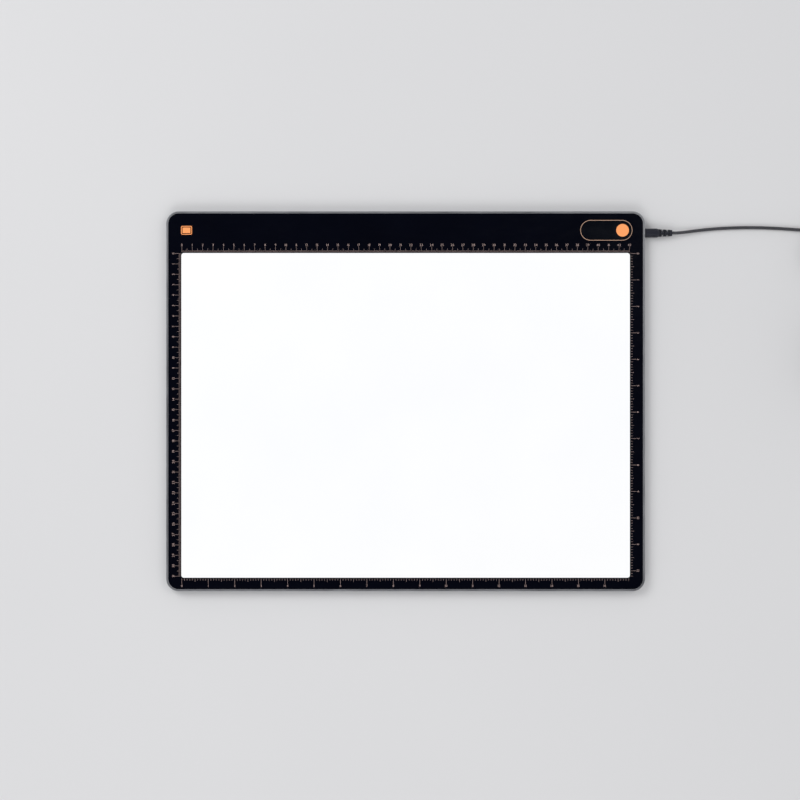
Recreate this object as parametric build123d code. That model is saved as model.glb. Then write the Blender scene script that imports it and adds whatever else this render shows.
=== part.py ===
from build123d import *

import math
import os

# Light box for tracing: a slim edge-lit panel with a white window in a black border, and the detachable
# power lead that feeds it. Sizes are in millimetres. +X runs along the long side, +Y towards the wide
# border that holds the electronics, and +Z up. The origin is under the middle of the casing, on the
# surface that its feet stand on.

# ---- casing, seen from above -------------------------------------------------------------------------
LENGTH = 460.0
DEPTH = 365.0
CORNER_RADIUS = 12.0
SIDE_BORDER = 14.5  # casing edge to window, left and right
FRONT_BORDER = 13.0
REAR_BORDER = 40.0
WINDOW_RADIUS = 2.5
WALL = 1.8  # frame wall, which shows as the rim round the panel
RIM_ROUND = 0.4
FIT = 0.15  # gap between a plate and the wall round it

# ---- layers, from the table up -----------------------------------------------------------------------
FOOT_PROUD = 1.0
BACK_THICKNESS = 1.4
REFLECTOR_THICKNESS = 0.25
GUIDE_THICKNESS = 3.0
PRISM_THICKNESS = 0.3
DIFFUSER_THICKNESS = 0.5
FOAM_THICKNESS = 0.3
PANEL_THICKNESS = 2.1
OVERLAY_THICKNESS = 0.15
TAPE_THICKNESS = 0.15

BACK_BOTTOM = FOOT_PROUD
INNER_FLOOR = BACK_BOTTOM + BACK_THICKNESS
GUIDE_BOTTOM = INNER_FLOOR + REFLECTOR_THICKNESS
PRISM_BOTTOM = GUIDE_BOTTOM + GUIDE_THICKNESS
DIFFUSER_BOTTOM = PRISM_BOTTOM + PRISM_THICKNESS
STACK_TOP = DIFFUSER_BOTTOM + DIFFUSER_THICKNESS
PANEL_BOTTOM = STACK_TOP + FOAM_THICKNESS
OVERLAY_BOTTOM = PANEL_BOTTOM + PANEL_THICKNESS
CASING_TOP = OVERLAY_BOTTOM + OVERLAY_THICKNESS

# ---- frame: shelf for the panel, lugs for the back screws --------------------------------------------
SHELF_WIDTH = 3.0
SHELF_THICKNESS = 1.0
SHELF_TOP = PANEL_BOTTOM - TAPE_THICKNESS
SHELF_BOTTOM = SHELF_TOP - SHELF_THICKNESS
LUG_REACH = 4.6
LUG_LENGTH = 8.0
LONG_SIDE_SCREWS = 4
SHORT_SIDE_SCREWS = 3
SCREW_FROM_CORNER = 45.0
SCREW_DIAMETER = 1.9
SCREW_LENGTH = 4.0
SCREW_HEAD_DIAMETER = 3.6
SCREW_HEAD_HEIGHT = 0.85
SCREW_CLEARANCE = 0.05  # radial, round the shank and the head
RECESS_WIDTH = 0.45
RECESS_LENGTH = 2.0
RECESS_DEPTH = 0.5

# ---- light frame, which holds the guide and the LED strips -------------------------------------------
LEAD_CHANNEL = 1.9  # between the lugs and the light frame, for the long pair of leads
SIDE_RAIL = 3.0
FRONT_RAIL = 1.5
REAR_RAIL = 2.4
GUIDE_FIT = 0.2
LUG_GAP = 0.2
STRIP_THICKNESS = 0.8
LED_LENGTH = 3.0
LED_DEPTH = 0.8
LED_HEIGHT = 2.0
LED_PITCH = 8.0
LED_GAP = 0.1  # strip to rail, and LED to guide
STRIP_SHORTER = 4.5  # at each end of the guide
REAR_GUIDE_MARGIN = 4.0  # guide hidden behind the window's rear edge

GUIDE_X = LENGTH / 2 - WALL - LUG_REACH - LEAD_CHANNEL - SIDE_RAIL - GUIDE_FIT
FRONT_RAIL_Y = -DEPTH / 2 + WALL + LUG_REACH + LUG_GAP
FRONT_STRIP_Y = FRONT_RAIL_Y + FRONT_RAIL + LED_GAP
GUIDE_FRONT = FRONT_STRIP_Y + STRIP_THICKNESS + LED_DEPTH + LED_GAP
WINDOW_REAR = DEPTH / 2 - REAR_BORDER
WINDOW_FRONT = -DEPTH / 2 + FRONT_BORDER
GUIDE_REAR = WINDOW_REAR + REAR_GUIDE_MARGIN
REAR_STRIP_Y = GUIDE_REAR + LED_GAP + LED_DEPTH
REAR_RAIL_Y = REAR_STRIP_Y + STRIP_THICKNESS + LED_GAP
BAY_FRONT = REAR_RAIL_Y + REAR_RAIL
BAY_REAR = DEPTH / 2 - WALL - LUG_REACH
STRIP_LENGTH = 2 * (GUIDE_X - STRIP_SHORTER)

# ---- control board in the bay ------------------------------------------------------------------------
BOARD_LENGTH = 120.0
BOARD_THICKNESS = 1.0
BOARD_POST = 1.0
BOARD_GAP = 0.8  # to the lugs behind it
BOARD_END_GAP = 2.2  # to the frame wall beside it
BOARD_SCREW_INSET = 3.5
BOARD_SCREW_SPAN = 90.0
BOARD_SCREW_LENGTH = 2.4
BOARD_SCREW_HEAD_DIAMETER = 3.4
BOARD_SCREW_HEAD_HEIGHT = 1.0
POST_DIAMETER = 4.4
WIRE_DIAMETER = 0.7
WIRE_SPACING = 0.8
WIRE_BEND = 1.5
WIRE_ABOVE_BOARD = 0.4
CONNECTOR = (5.0, 4.0, 1.6)
CONNECTOR_SETBACK = 0.4
FRONT_CONNECTOR_FROM_RIGHT = 42.0  # casing edge to the connector for the front strip
REAR_CONNECTOR_FROM_RIGHT = 80.0
WIRE_NOTCH_WIDTH = 4.0
WIRE_NOTCH_FLOOR = 0.4  # under the lower wire

# Components: a place is from the casing's right edge and from the board's middle line
POWER_CHIP = (6.0, 5.0, 1.1)
POWER_CHIP_PLACE = (78.0, 2.0)
TOUCH_CHIP = (5.0, 5.0, 1.0)
TOUCH_CHIP_PLACE = (58.0, -1.0)
INDUCTOR = (7.0, 7.0, 1.6)
INDUCTOR_PLACE = (94.0, 2.5)
INDUCTOR_ROUND = 1.5
SMALL_CAPACITOR = (2.0, 1.2, 1.2)
SMALL_CAPACITOR_PLACES = [
    (68.0, 6.0),
    (68.0, 2.0),
    (68.0, -2.0),
    (70.0, -6.0),
    (86.0, -3.5),
    (104.0, 5.0),
    (104.0, 0.0),
]

BOARD_BOTTOM = INNER_FLOOR + BOARD_POST
BOARD_TOP = BOARD_BOTTOM + BOARD_THICKNESS
BOARD_FRONT = BAY_FRONT + LEAD_CHANNEL
BOARD_REAR = BAY_REAR - BOARD_GAP
BOARD_RIGHT = LENGTH / 2 - WALL - BOARD_END_GAP
BOARD_LEFT = BOARD_RIGHT - BOARD_LENGTH
BOARD_MIDDLE_Y = (BOARD_FRONT + BOARD_REAR) / 2
LOWER_WIRE_Z = BOARD_TOP + WIRE_ABOVE_BOARD
FRONT_CONNECTOR_X = LENGTH / 2 - FRONT_CONNECTOR_FROM_RIGHT
REAR_CONNECTOR_X = LENGTH / 2 - REAR_CONNECTOR_FROM_RIGHT

# ---- touch control under the border ------------------------------------------------------------------
TOUCH_FROM_RIGHT = 37.15  # casing edge to the middle of the touch area
TOUCH_FROM_REAR = 18.2
TOUCH_LENGTH = 48.0
TOUCH_WIDTH = 17.8
TOUCH_FILM_THICKNESS = 0.1
TOUCH_DOT_FROM_RIGHT = 21.6
SPRING_RADIUS = 1.8
SPRING_WIRE = 0.4
SPRING_TURNS = 3

# ---- back cover --------------------------------------------------------------------------------------
FOOT_DIAMETER = 14.0
FOOT_RECESS = 0.5
FOOT_INSET = 24.0
FOOT_FIT = 0.1
FOOT_EDGE = 0.25
RIB_THICKNESS = 1.2
RIB_PITCH = 38.0
RIB_GAP = 0.6  # ribs to whatever is round them, and to the panel
LABEL_RECESS = (70.0, 36.0, 0.2)
LABEL_RADIUS = 2.0

# ---- power socket and the plug in it -----------------------------------------------------------------
SOCKET_FROM_REAR = 20.5
SOCKET_LENGTH = 13.9
SOCKET_WIDTH = 6.4
SOCKET_POCKET_FLOOR = 0.6
SOCKET_GAP = 0.1
SOCKET_BORE_SPARE = 0.7  # behind the plug's barrel
SOCKET_PIN_SETBACK = 1.0
NOSE_DIAMETER = 4.8
SLEEVE_DIAMETER = 3.5
SLEEVE_LENGTH = 9.5
SLEEVE_WALL = 0.4
PIN_DIAMETER = 1.3
CONTACT_WALL = 0.3
PLUG_CLEARANCE = 0.1  # radial, sleeve in socket
PIN_CLEARANCE = 0.05  # radial, pin in contact
SLEEVE_ROOT = 3.0  # held in the moulding
LEAF_LENGTH = 6.0
LEAF_HEIGHT = 1.6
LEAF_THICKNESS = 0.2
LEAF_GAP = 0.05  # to the sleeve
LEAF_FLEX = 0.4  # room behind it

SOCKET_BOTTOM = BACK_BOTTOM + SOCKET_POCKET_FLOOR + SOCKET_GAP
SOCKET_HEIGHT = SHELF_TOP - SOCKET_BOTTOM
SOCKET_Y = DEPTH / 2 - SOCKET_FROM_REAR
SOCKET_Z = SOCKET_BOTTOM + SOCKET_HEIGHT / 2
SOCKET_BORE = SLEEVE_DIAMETER + 2 * PLUG_CLEARANCE
SOCKET_BORE_DEPTH = SLEEVE_LENGTH + SOCKET_BORE_SPARE

PLUG_GAP = 0.3  # casing to moulding
PLUG_ABOVE_TABLE = 0.3
PLUG_WIDTH = 8.8
PLUG_GRIP_LENGTH = 11.5
PLUG_SHOULDER = 2.0
PLUG_ROUND = 0.7
PLUG_LENGTH = 26.1
RELIEF_START_DIAMETER = 7.4
RELIEF_END_DIAMETER = 6.0
RELIEF_CORE = 3.6
RELIEF_SLOTS = 5
RELIEF_FIRST_SLOT = 0.9  # shoulder to the first slot's middle
RELIEF_SLOT_WIDTH = 1.1
RELIEF_SLOT_PITCH = 2.3
RELIEF_WEB = 1.6
FLUTES = 6
FLUTE_DIAMETER = 2.6
FLUTE_DEPTH = 0.5
FLUTE_END = 1.2

PLUG_X = LENGTH / 2 + PLUG_GAP
PLUG_HEIGHT = 2 * (SOCKET_Z - PLUG_ABOVE_TABLE)
PLUG_END = Vector(PLUG_X + PLUG_LENGTH, SOCKET_Y, SOCKET_Z)
INSULATOR_DIAMETER = SLEEVE_DIAMETER - 2 * SLEEVE_WALL
CONTACT_BORE = PIN_DIAMETER + 2 * PIN_CLEARANCE
CONTACT_DIAMETER = CONTACT_BORE + 2 * CONTACT_WALL

# ---- cord: a 1.5 m two-core lead, most of it wound into a tied coil ----------------------------------
CORD_DIAMETER = 3.0
ARC_SHARE = 0.45  # of the shorter run beside a bend, taken up by its arc
TIE_THICKNESS = 0.6
TIE_WIDTH = 8.0
TIE_ANGLE = 275.0  # round the coil, from +X
TIE_SLACK = 0.15
COIL_TURN_GAP = 0.2
COIL_MEAN_RADIUS = 18.0
COIL_COLUMNS = 3
COIL_LAYERS = 4
COIL_ROUND = 2.5
COIL_FROM_PLUG = 152.0  # plug's end to the coil's middle, along X
COIL_FAR_SIDE = 1.5  # plug's axis to the outer turn's far side, along Y

CORD_RADIUS = CORD_DIAMETER / 2
COIL_PITCH = CORD_DIAMETER + COIL_TURN_GAP
COIL_OUTER_TURN = COIL_MEAN_RADIUS + (COIL_COLUMNS - 1) * COIL_PITCH / 2
COIL_BUNDLE_WIDTH = (COIL_COLUMNS - 1) * COIL_PITCH + CORD_DIAMETER
COIL_BUNDLE_HEIGHT = (COIL_LAYERS - 1) * COIL_PITCH + CORD_DIAMETER
COIL_CENTRE = Vector(PLUG_END.X + COIL_FROM_PLUG, PLUG_END.Y + COIL_FAR_SIDE - COIL_OUTER_TURN, 0)
COIL_BOTTOM_TURN = TIE_THICKNESS + CORD_RADIUS
COIL_TOP_TURN = COIL_BOTTOM_TURN + (COIL_LAYERS - 1) * COIL_PITCH

# ---- plug-in power adaptor at the cord's far end, lying on its back with its pins up -----------------
ADAPTOR_WIDTH = 36.0
ADAPTOR_LENGTH = 66.0
ADAPTOR_HEIGHT = 28.0
ADAPTOR_CORNER = 7.0
ADAPTOR_EDGE = 3.0
ADAPTOR_WALL = 2.0
ADAPTOR_SPLIT = 9.0  # height of the joint between its shells, and of the cord's exit
ADAPTOR_X = 14.0  # from the coil's middle
ADAPTOR_RELIEF_TIP = -52.0  # from the coil's middle, along Y
ADAPTOR_RELIEF_LENGTH = 14.0
ADAPTOR_RELIEF_DIAMETER = 8.0
ADAPTOR_RELIEF_COLLAR = 0.8  # straight part outside the shells
ADAPTOR_RELIEF_TIP_WALL = 1.0
ADAPTOR_FLANGE = (10.0, 1.5)  # diameter and thickness
SEAM_GROOVE = 0.35
SEAM_MARGIN = 1.0  # of the cutter outside the shells
BOSS_LENGTH = 33.0
BOSS_WIDTH = 13.7
BOSS_FLAT = 22.0
BOSS_HEIGHT = 5.0
BOSS_ROUND = 1.5
BOSS_OFFSET = -12.0  # from the adaptor's middle, away from the cord
MAINS_PIN_DIAMETER = 4.0
MAINS_PIN_LENGTH = 19.0
MAINS_PIN_SPACING = 19.0
MAINS_PIN_NECK = 3.0
MAINS_PIN_ROOT = 3.0  # below the boss, inside the shell
PIN_SLEEVE_DIAMETER = 3.8
PIN_SLEEVE_LENGTH = 10.0
ADAPTOR_BOARD = (30.0, 58.0, 1.6)
ADAPTOR_BOARD_BOTTOM = 5.0
TRANSFORMER = (17.0, 16.0, 14.0)
TRANSFORMER_CORE = 5.0
TRANSFORMER_PLACE = (4.0, -2.0)  # from the adaptor's middle
WINDING_WIDTH_SHARE = 2 / 3  # of the core's width
WINDING_HEIGHT_SHARE = 0.85
WINDING_ROUND = 2.0
CAPACITOR_DIAMETER = 8.0
CAPACITOR_LENGTH = 11.0
CAPACITOR_PLACES = [(-9.5, 6.0), (-9.5, -8.0), (6.0, 16.0)]  # from the adaptor's middle

ADAPTOR_CENTRE_X = COIL_CENTRE.X + ADAPTOR_X
ADAPTOR_FACE_Y = COIL_CENTRE.Y + ADAPTOR_RELIEF_TIP - ADAPTOR_RELIEF_LENGTH
ADAPTOR_CENTRE_Y = ADAPTOR_FACE_Y - ADAPTOR_LENGTH / 2

FROM_BELOW = (Align.CENTER, Align.CENTER, Align.MIN)  # a shape that starts at its lowest point


def slab(length, depth, radius, bottom, thickness, middle=(0, 0)):
    """A plate with rounded corners, standing on the height bottom."""
    return Pos(middle[0], middle[1], bottom) * extrude(RectangleRounded(length, depth, radius), thickness)


def block(low_x, high_x, low_y, high_y, bottom, top):
    """A box between two corners."""
    corner = Pos(low_x, low_y, bottom)
    return corner * Box(high_x - low_x, high_y - low_y, top - bottom, align=(Align.MIN, Align.MIN, Align.MIN))


def upright(diameter, x, y, bottom, top):
    """A cylinder along Z."""
    return Pos(x, y, bottom) * Cylinder(diameter / 2, top - bottom, align=FROM_BELOW)


def socket_rod(diameter, low_x, high_x):
    """A cylinder along X on the power socket's axis."""
    turned = Rot(0, 90, 0) * Cylinder(diameter / 2, high_x - low_x, align=FROM_BELOW)
    return Pos(low_x, SOCKET_Y, SOCKET_Z) * turned


def inside_wall(gap, radius_gap=0.0):
    """Length, depth and corner radius of the opening in the frame wall, less a gap all round."""
    inset = WALL + gap
    return LENGTH - 2 * inset, DEPTH - 2 * inset, CORNER_RADIUS - inset - radius_gap


def spread(count, half_span):
    """count places evenly from -half_span to half_span."""
    return [half_span * (2 * i / (count - 1) - 1) for i in range(count)]


def lug_places():
    """The back screws: each one's x and y, and the lug's size along X and Y."""
    rim = WALL + LUG_REACH / 2
    places = []
    for x in spread(LONG_SIDE_SCREWS, LENGTH / 2 - SCREW_FROM_CORNER):
        for side in (-1, 1):
            places.append((x, side * (DEPTH / 2 - rim), LUG_LENGTH, LUG_REACH))
    for y in spread(SHORT_SIDE_SCREWS, DEPTH / 2 - SCREW_FROM_CORNER - LUG_LENGTH):
        for side in (-1, 1):
            places.append((side * (LENGTH / 2 - rim), y, LUG_REACH, LUG_LENGTH))
    return places


def board_screw_places():
    """The four board screws."""
    left = BOARD_LEFT + BOARD_SCREW_INSET
    near, far = BOARD_FRONT + BOARD_SCREW_INSET, BOARD_REAR - BOARD_SCREW_INSET
    return [(x, y) for x in (left, left + BOARD_SCREW_SPAN) for y in (near, far)]


def foot_places():
    """Each foot's name and place."""
    columns = {"left": -1, "middle": 0, "right": 1}
    rows = {"front": -1, "rear": 1}
    reach_x, reach_y = LENGTH / 2 - FOOT_INSET, DEPTH / 2 - FOOT_INSET
    return {
        f"foot_{row}_{column}": (across * reach_x, along * reach_y)
        for row, along in rows.items()
        for column, across in columns.items()
    }


# ---- casing ------------------------------------------------------------------------------------------


def frame():
    """The metal band round the casing, with its shelf, screw lugs and socket hole."""
    band = slab(LENGTH, DEPTH, CORNER_RADIUS, BACK_BOTTOM, CASING_TOP - BACK_BOTTOM)
    rims = band.faces().sort_by(Axis.Z)
    band = fillet(rims[0].edges() + rims[-1].edges(), RIM_ROUND)
    length, depth, radius = inside_wall(0)
    band -= slab(length, depth, radius, BACK_BOTTOM, CASING_TOP - BACK_BOTTOM)
    shelf = slab(length, depth, radius, SHELF_BOTTOM, SHELF_THICKNESS)
    shelf -= slab(
        length - 2 * SHELF_WIDTH, depth - 2 * SHELF_WIDTH, radius - SHELF_WIDTH, SHELF_BOTTOM, SHELF_THICKNESS
    )
    band += shelf
    for x, y, size_x, size_y in lug_places():
        band += block(x - size_x / 2, x + size_x / 2, y - size_y / 2, y + size_y / 2, INNER_FLOOR, SHELF_TOP)
    bore = SCREW_DIAMETER + 2 * SCREW_CLEARANCE
    for x, y, _, _ in lug_places():
        band -= upright(bore, x, y, INNER_FLOOR, BACK_BOTTOM + SCREW_LENGTH + SCREW_CLEARANCE)
    half = SOCKET_WIDTH / 2 + SOCKET_GAP
    inner = LENGTH / 2 - WALL
    band -= block(inner - SHELF_WIDTH, inner, SOCKET_Y - half, SOCKET_Y + half, SHELF_BOTTOM, SHELF_TOP)
    return band - socket_rod(NOSE_DIAMETER + 2 * SOCKET_GAP, inner, LENGTH / 2)


def cover_panel():
    """The acrylic sheet that lights up in the window and lies on the frame's shelf."""
    length, depth, radius = inside_wall(FIT)
    return slab(length, depth, radius, PANEL_BOTTOM, PANEL_THICKNESS)


def border_overlay():
    """The printed film on the panel, cut out round the window."""
    length, depth, radius = inside_wall(FIT)
    film = slab(length, depth, radius, OVERLAY_BOTTOM, OVERLAY_THICKNESS)
    middle = (0, (WINDOW_REAR + WINDOW_FRONT) / 2)
    window_length, window_depth = LENGTH - 2 * SIDE_BORDER, WINDOW_REAR - WINDOW_FRONT
    return film - slab(window_length, window_depth, WINDOW_RADIUS, OVERLAY_BOTTOM, OVERLAY_THICKNESS, middle)


def panel_tape():
    """The adhesive tape between shelf and panel."""
    length, depth, radius = inside_wall(FIT)
    ring = slab(length, depth, radius, SHELF_TOP, TAPE_THICKNESS)
    width = SHELF_WIDTH - FIT
    return ring - slab(length - 2 * width, depth - 2 * width, radius - width, SHELF_TOP, TAPE_THICKNESS)


def back_cover():
    """The moulded back: plate, ribs, board posts, and recesses for feet, socket, label and screws."""
    length, depth, radius = inside_wall(FIT)
    plate = slab(length, depth, radius, BACK_BOTTOM, BACK_THICKNESS)
    for x, y in foot_places().values():
        plate -= upright(FOOT_DIAMETER + 2 * FOOT_FIT, x, y, BACK_BOTTOM, BACK_BOTTOM + FOOT_RECESS)
    plate -= slab(LABEL_RECESS[0], LABEL_RECESS[1], LABEL_RADIUS, BACK_BOTTOM, LABEL_RECESS[2])

    half = SOCKET_WIDTH / 2 + SOCKET_GAP
    inner = LENGTH / 2 - WALL
    pocket_floor = SOCKET_BOTTOM - SOCKET_GAP
    plate -= block(
        inner - SOCKET_LENGTH - SOCKET_GAP, inner, SOCKET_Y - half, SOCKET_Y + half, pocket_floor, INNER_FLOOR
    )

    for x, y, _, _ in lug_places():
        head = SCREW_HEAD_DIAMETER / 2 + SCREW_CLEARANCE
        shank = SCREW_DIAMETER / 2 + SCREW_CLEARANCE
        plate -= upright(2 * shank, x, y, BACK_BOTTOM, INNER_FLOOR)
        sink = Cone(head, shank, SCREW_HEAD_HEIGHT, align=FROM_BELOW)
        plate -= Pos(x, y, BACK_BOTTOM) * sink

    rib_front, rib_rear = BAY_FRONT + RIB_GAP, BAY_REAR - RIB_GAP
    rib_top = PANEL_BOTTOM - RIB_GAP
    bay_left, bay_right = -GUIDE_X, BOARD_LEFT - RIB_GAP
    ribs = [bay_left + (i + 0.5) * RIB_PITCH for i in range(int((bay_right - bay_left) // RIB_PITCH))]
    for x in ribs:
        plate += block(x, x + RIB_THICKNESS, rib_front, rib_rear, INNER_FLOOR, rib_top)
    spine = (rib_front + rib_rear) / 2
    plate += block(ribs[0], ribs[-1], spine, spine + RIB_THICKNESS, INNER_FLOOR, rib_top)

    for x, y in board_screw_places():
        plate += upright(POST_DIAMETER, x, y, INNER_FLOOR, BOARD_BOTTOM)
        hole_bottom = BOARD_TOP - BOARD_SCREW_LENGTH - SCREW_CLEARANCE
        plate -= upright(SCREW_DIAMETER + 2 * SCREW_CLEARANCE, x, y, hole_bottom, BOARD_BOTTOM)
    return plate


def foot(x, y):
    """A rubber foot, let into the back cover."""
    pad = upright(FOOT_DIAMETER, x, y, 0, FOOT_PROUD + FOOT_RECESS)
    return chamfer(pad.faces().sort_by(Axis.Z)[0].edges(), FOOT_EDGE)


def back_screws():
    """The countersunk screws that hold the back cover to the frame's lugs."""
    screws = []
    for x, y, _, _ in lug_places():
        head = Cone(SCREW_HEAD_DIAMETER / 2, SCREW_DIAMETER / 2, SCREW_HEAD_HEIGHT, align=FROM_BELOW)
        shank = upright(SCREW_DIAMETER, x, y, BACK_BOTTOM, BACK_BOTTOM + SCREW_LENGTH)
        screws.append(Pos(x, y, BACK_BOTTOM) * head + shank - cross_recess(x, y, BACK_BOTTOM))
    return Compound(children=screws)


def cross_recess(x, y, bottom):
    """The cross in a screw head, upwards from the height bottom."""
    arms = [(RECESS_LENGTH, RECESS_WIDTH), (RECESS_WIDTH, RECESS_LENGTH)]
    bars = [block(x - a / 2, x + a / 2, y - b / 2, y + b / 2, bottom, bottom + RECESS_DEPTH) for a, b in arms]
    return bars[0] + bars[1]


# ---- light engine ------------------------------------------------------------------------------------


def guide_sheet(bottom, thickness):
    """A sheet with the light guide's outline."""
    return block(-GUIDE_X, GUIDE_X, GUIDE_FRONT, GUIDE_REAR, bottom, bottom + thickness)


def light_frame_ring(bottom, top):
    """The light frame's outline between two heights."""
    outer_x = GUIDE_X + GUIDE_FIT + SIDE_RAIL
    inner_x = GUIDE_X + GUIDE_FIT
    ring = block(-outer_x, outer_x, FRONT_RAIL_Y, BAY_FRONT, bottom, top)
    return ring - block(-inner_x, inner_x, FRONT_RAIL_Y + FRONT_RAIL, REAR_RAIL_Y, bottom, top)


def light_frame():
    """The white moulding round the guide and the LED strips, notched for the leads."""
    ring = light_frame_ring(INNER_FLOOR, STACK_TOP)
    sill = LOWER_WIRE_Z - WIRE_DIAMETER / 2 - WIRE_NOTCH_FLOOR
    outer_x = GUIDE_X + GUIDE_FIT + SIDE_RAIL
    ring -= block(GUIDE_X, outer_x, FRONT_RAIL_Y, GUIDE_FRONT + GUIDE_FIT, sill, STACK_TOP)
    low_x, high_x = REAR_CONNECTOR_X - WIRE_NOTCH_WIDTH / 2, REAR_CONNECTOR_X + WIRE_NOTCH_WIDTH / 2
    return ring - block(low_x, high_x, REAR_RAIL_Y, BAY_FRONT, sill, STACK_TOP)


def led_strip(y):
    """A strip board on edge, with its low-Y face at y."""
    half = STRIP_LENGTH / 2
    return block(-half, half, y, y + STRIP_THICKNESS, INNER_FLOOR + LED_GAP, STACK_TOP - LED_GAP)


def leds(y):
    """The row of LEDs on one strip, with their low-Y faces at y, level with the guide."""
    middle = GUIDE_BOTTOM + GUIDE_THICKNESS / 2
    count = int((STRIP_LENGTH - LED_LENGTH) // LED_PITCH) + 1
    row = []
    for i in range(count):
        x = (i - (count - 1) / 2) * LED_PITCH
        low, high = middle - LED_HEIGHT / 2, middle + LED_HEIGHT / 2
        row.append(block(x - LED_LENGTH / 2, x + LED_LENGTH / 2, y, y + LED_DEPTH, low, high))
    return Compound(children=row)


def wire_heights():
    """The two wires of a pair, one above the other."""
    return [LOWER_WIRE_Z, LOWER_WIRE_Z + WIRE_SPACING]


def front_led_leads():
    """The pair of wires from the board, round the light frame's right-hand side, to the front strip."""
    lane_y = BAY_FRONT + LEAD_CHANNEL / 2
    lane_x = GUIDE_X + GUIDE_FIT + SIDE_RAIL + LEAD_CHANNEL / 2
    slot_y = FRONT_STRIP_Y + STRIP_THICKNESS / 2
    start_y = BOARD_FRONT + CONNECTOR_SETBACK
    wires = []
    for z in wire_heights():
        corners = [
            (FRONT_CONNECTOR_X, start_y, z),
            (FRONT_CONNECTOR_X, lane_y, z),
            (lane_x, lane_y, z),
            (lane_x, slot_y, z),
            (STRIP_LENGTH / 2, slot_y, z),
        ]
        bends = [WIRE_DIAMETER, WIRE_BEND, WIRE_BEND]
        wires.append(tube(FilletPolyline(*corners, radius=bends), WIRE_DIAMETER))
    return Compound(children=wires)


def rear_led_leads():
    """The short pair of wires through the light frame to the rear strip."""
    strip_back, connector_face = REAR_STRIP_Y + STRIP_THICKNESS, BOARD_FRONT + CONNECTOR_SETBACK
    wire = Rot(90, 0, 0) * upright(WIRE_DIAMETER, 0, 0, 0, connector_face - strip_back)
    return Compound(children=[Pos(REAR_CONNECTOR_X, connector_face, z) * wire for z in wire_heights()])


# ---- control board -----------------------------------------------------------------------------------


def control_board():
    """The dimmer board, notched for the power socket."""
    board = block(BOARD_LEFT, BOARD_RIGHT, BOARD_FRONT, BOARD_REAR, BOARD_BOTTOM, BOARD_TOP)
    half = SOCKET_WIDTH / 2 + SOCKET_GAP
    notch_left = LENGTH / 2 - WALL - SOCKET_LENGTH - SOCKET_GAP
    board -= block(notch_left, BOARD_RIGHT, SOCKET_Y - half, SOCKET_Y + half, BOARD_BOTTOM, BOARD_TOP)
    for x, y in board_screw_places():
        board -= upright(SCREW_DIAMETER + 2 * SCREW_CLEARANCE, x, y, BOARD_BOTTOM, BOARD_TOP)
    return board


def board_screws():
    """The pan-head screws that hold the board to its posts."""
    screws = []
    for x, y in board_screw_places():
        shank = upright(SCREW_DIAMETER, x, y, BOARD_TOP - BOARD_SCREW_LENGTH, BOARD_TOP)
        head = upright(BOARD_SCREW_HEAD_DIAMETER, x, y, BOARD_TOP, BOARD_TOP + BOARD_SCREW_HEAD_HEIGHT)
        head = fillet(head.faces().sort_by(Axis.Z)[-1].edges(), BOARD_SCREW_HEAD_HEIGHT / 2)
        recess = cross_recess(x, y, BOARD_TOP + BOARD_SCREW_HEAD_HEIGHT - RECESS_DEPTH)
        screws.append(shank + head - recess)
    return Compound(children=screws)


def on_board(place, size):
    """A component of the given size on the board, by its middle's place."""
    x, y = LENGTH / 2 - place[0], BOARD_MIDDLE_Y + place[1]
    half_x, half_y = size[0] / 2, size[1] / 2
    return block(x - half_x, x + half_x, y - half_y, y + half_y, BOARD_TOP, BOARD_TOP + size[2])


def power_chip():
    """The LED driver."""
    return on_board(POWER_CHIP_PLACE, POWER_CHIP)


def touch_chip():
    """The touch controller."""
    return on_board(TOUCH_CHIP_PLACE, TOUCH_CHIP)


def inductor():
    """The driver's inductor, a squat block with rounded corners."""
    coil = on_board(INDUCTOR_PLACE, INDUCTOR)
    return fillet(coil.edges().filter_by(Axis.Z), INDUCTOR_ROUND)


def small_capacitors():
    """The board's small capacitors."""
    return Compound(children=[on_board(place, SMALL_CAPACITOR) for place in SMALL_CAPACITOR_PLACES])


def strip_connectors():
    """The two connectors for the strips' leads."""
    pair = []
    for x in (FRONT_CONNECTOR_X, REAR_CONNECTOR_X):
        low_y = BOARD_FRONT + CONNECTOR_SETBACK
        low_x, high_x = x - CONNECTOR[0] / 2, x + CONNECTOR[0] / 2
        pair.append(block(low_x, high_x, low_y, low_y + CONNECTOR[1], BOARD_TOP, BOARD_TOP + CONNECTOR[2]))
    return Compound(children=pair)


def touch_film():
    """The sensing film stuck under the panel behind the touch area."""
    film = extrude(SlotOverall(TOUCH_LENGTH, TOUCH_WIDTH), TOUCH_FILM_THICKNESS)
    x, y = LENGTH / 2 - TOUCH_FROM_RIGHT, DEPTH / 2 - TOUCH_FROM_REAR
    return Pos(x, y, PANEL_BOTTOM - TOUCH_FILM_THICKNESS) * film


def touch_spring():
    """The spring that joins the board to the touch dot's electrode."""
    space = PANEL_BOTTOM - TOUCH_FILM_THICKNESS - BOARD_TOP
    rise = space - SPRING_WIRE
    coil = Helix(rise / SPRING_TURNS, rise, SPRING_RADIUS)
    spring = sweep(Plane(coil @ 0, z_dir=coil % 0) * Circle(SPRING_WIRE / 2), path=coil, is_frenet=True)
    x, y = LENGTH / 2 - TOUCH_DOT_FROM_RIGHT, DEPTH / 2 - TOUCH_FROM_REAR
    return Pos(x, y, BOARD_TOP + SPRING_WIRE / 2) * spring


# ---- power socket and plug ---------------------------------------------------------------------------


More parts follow.
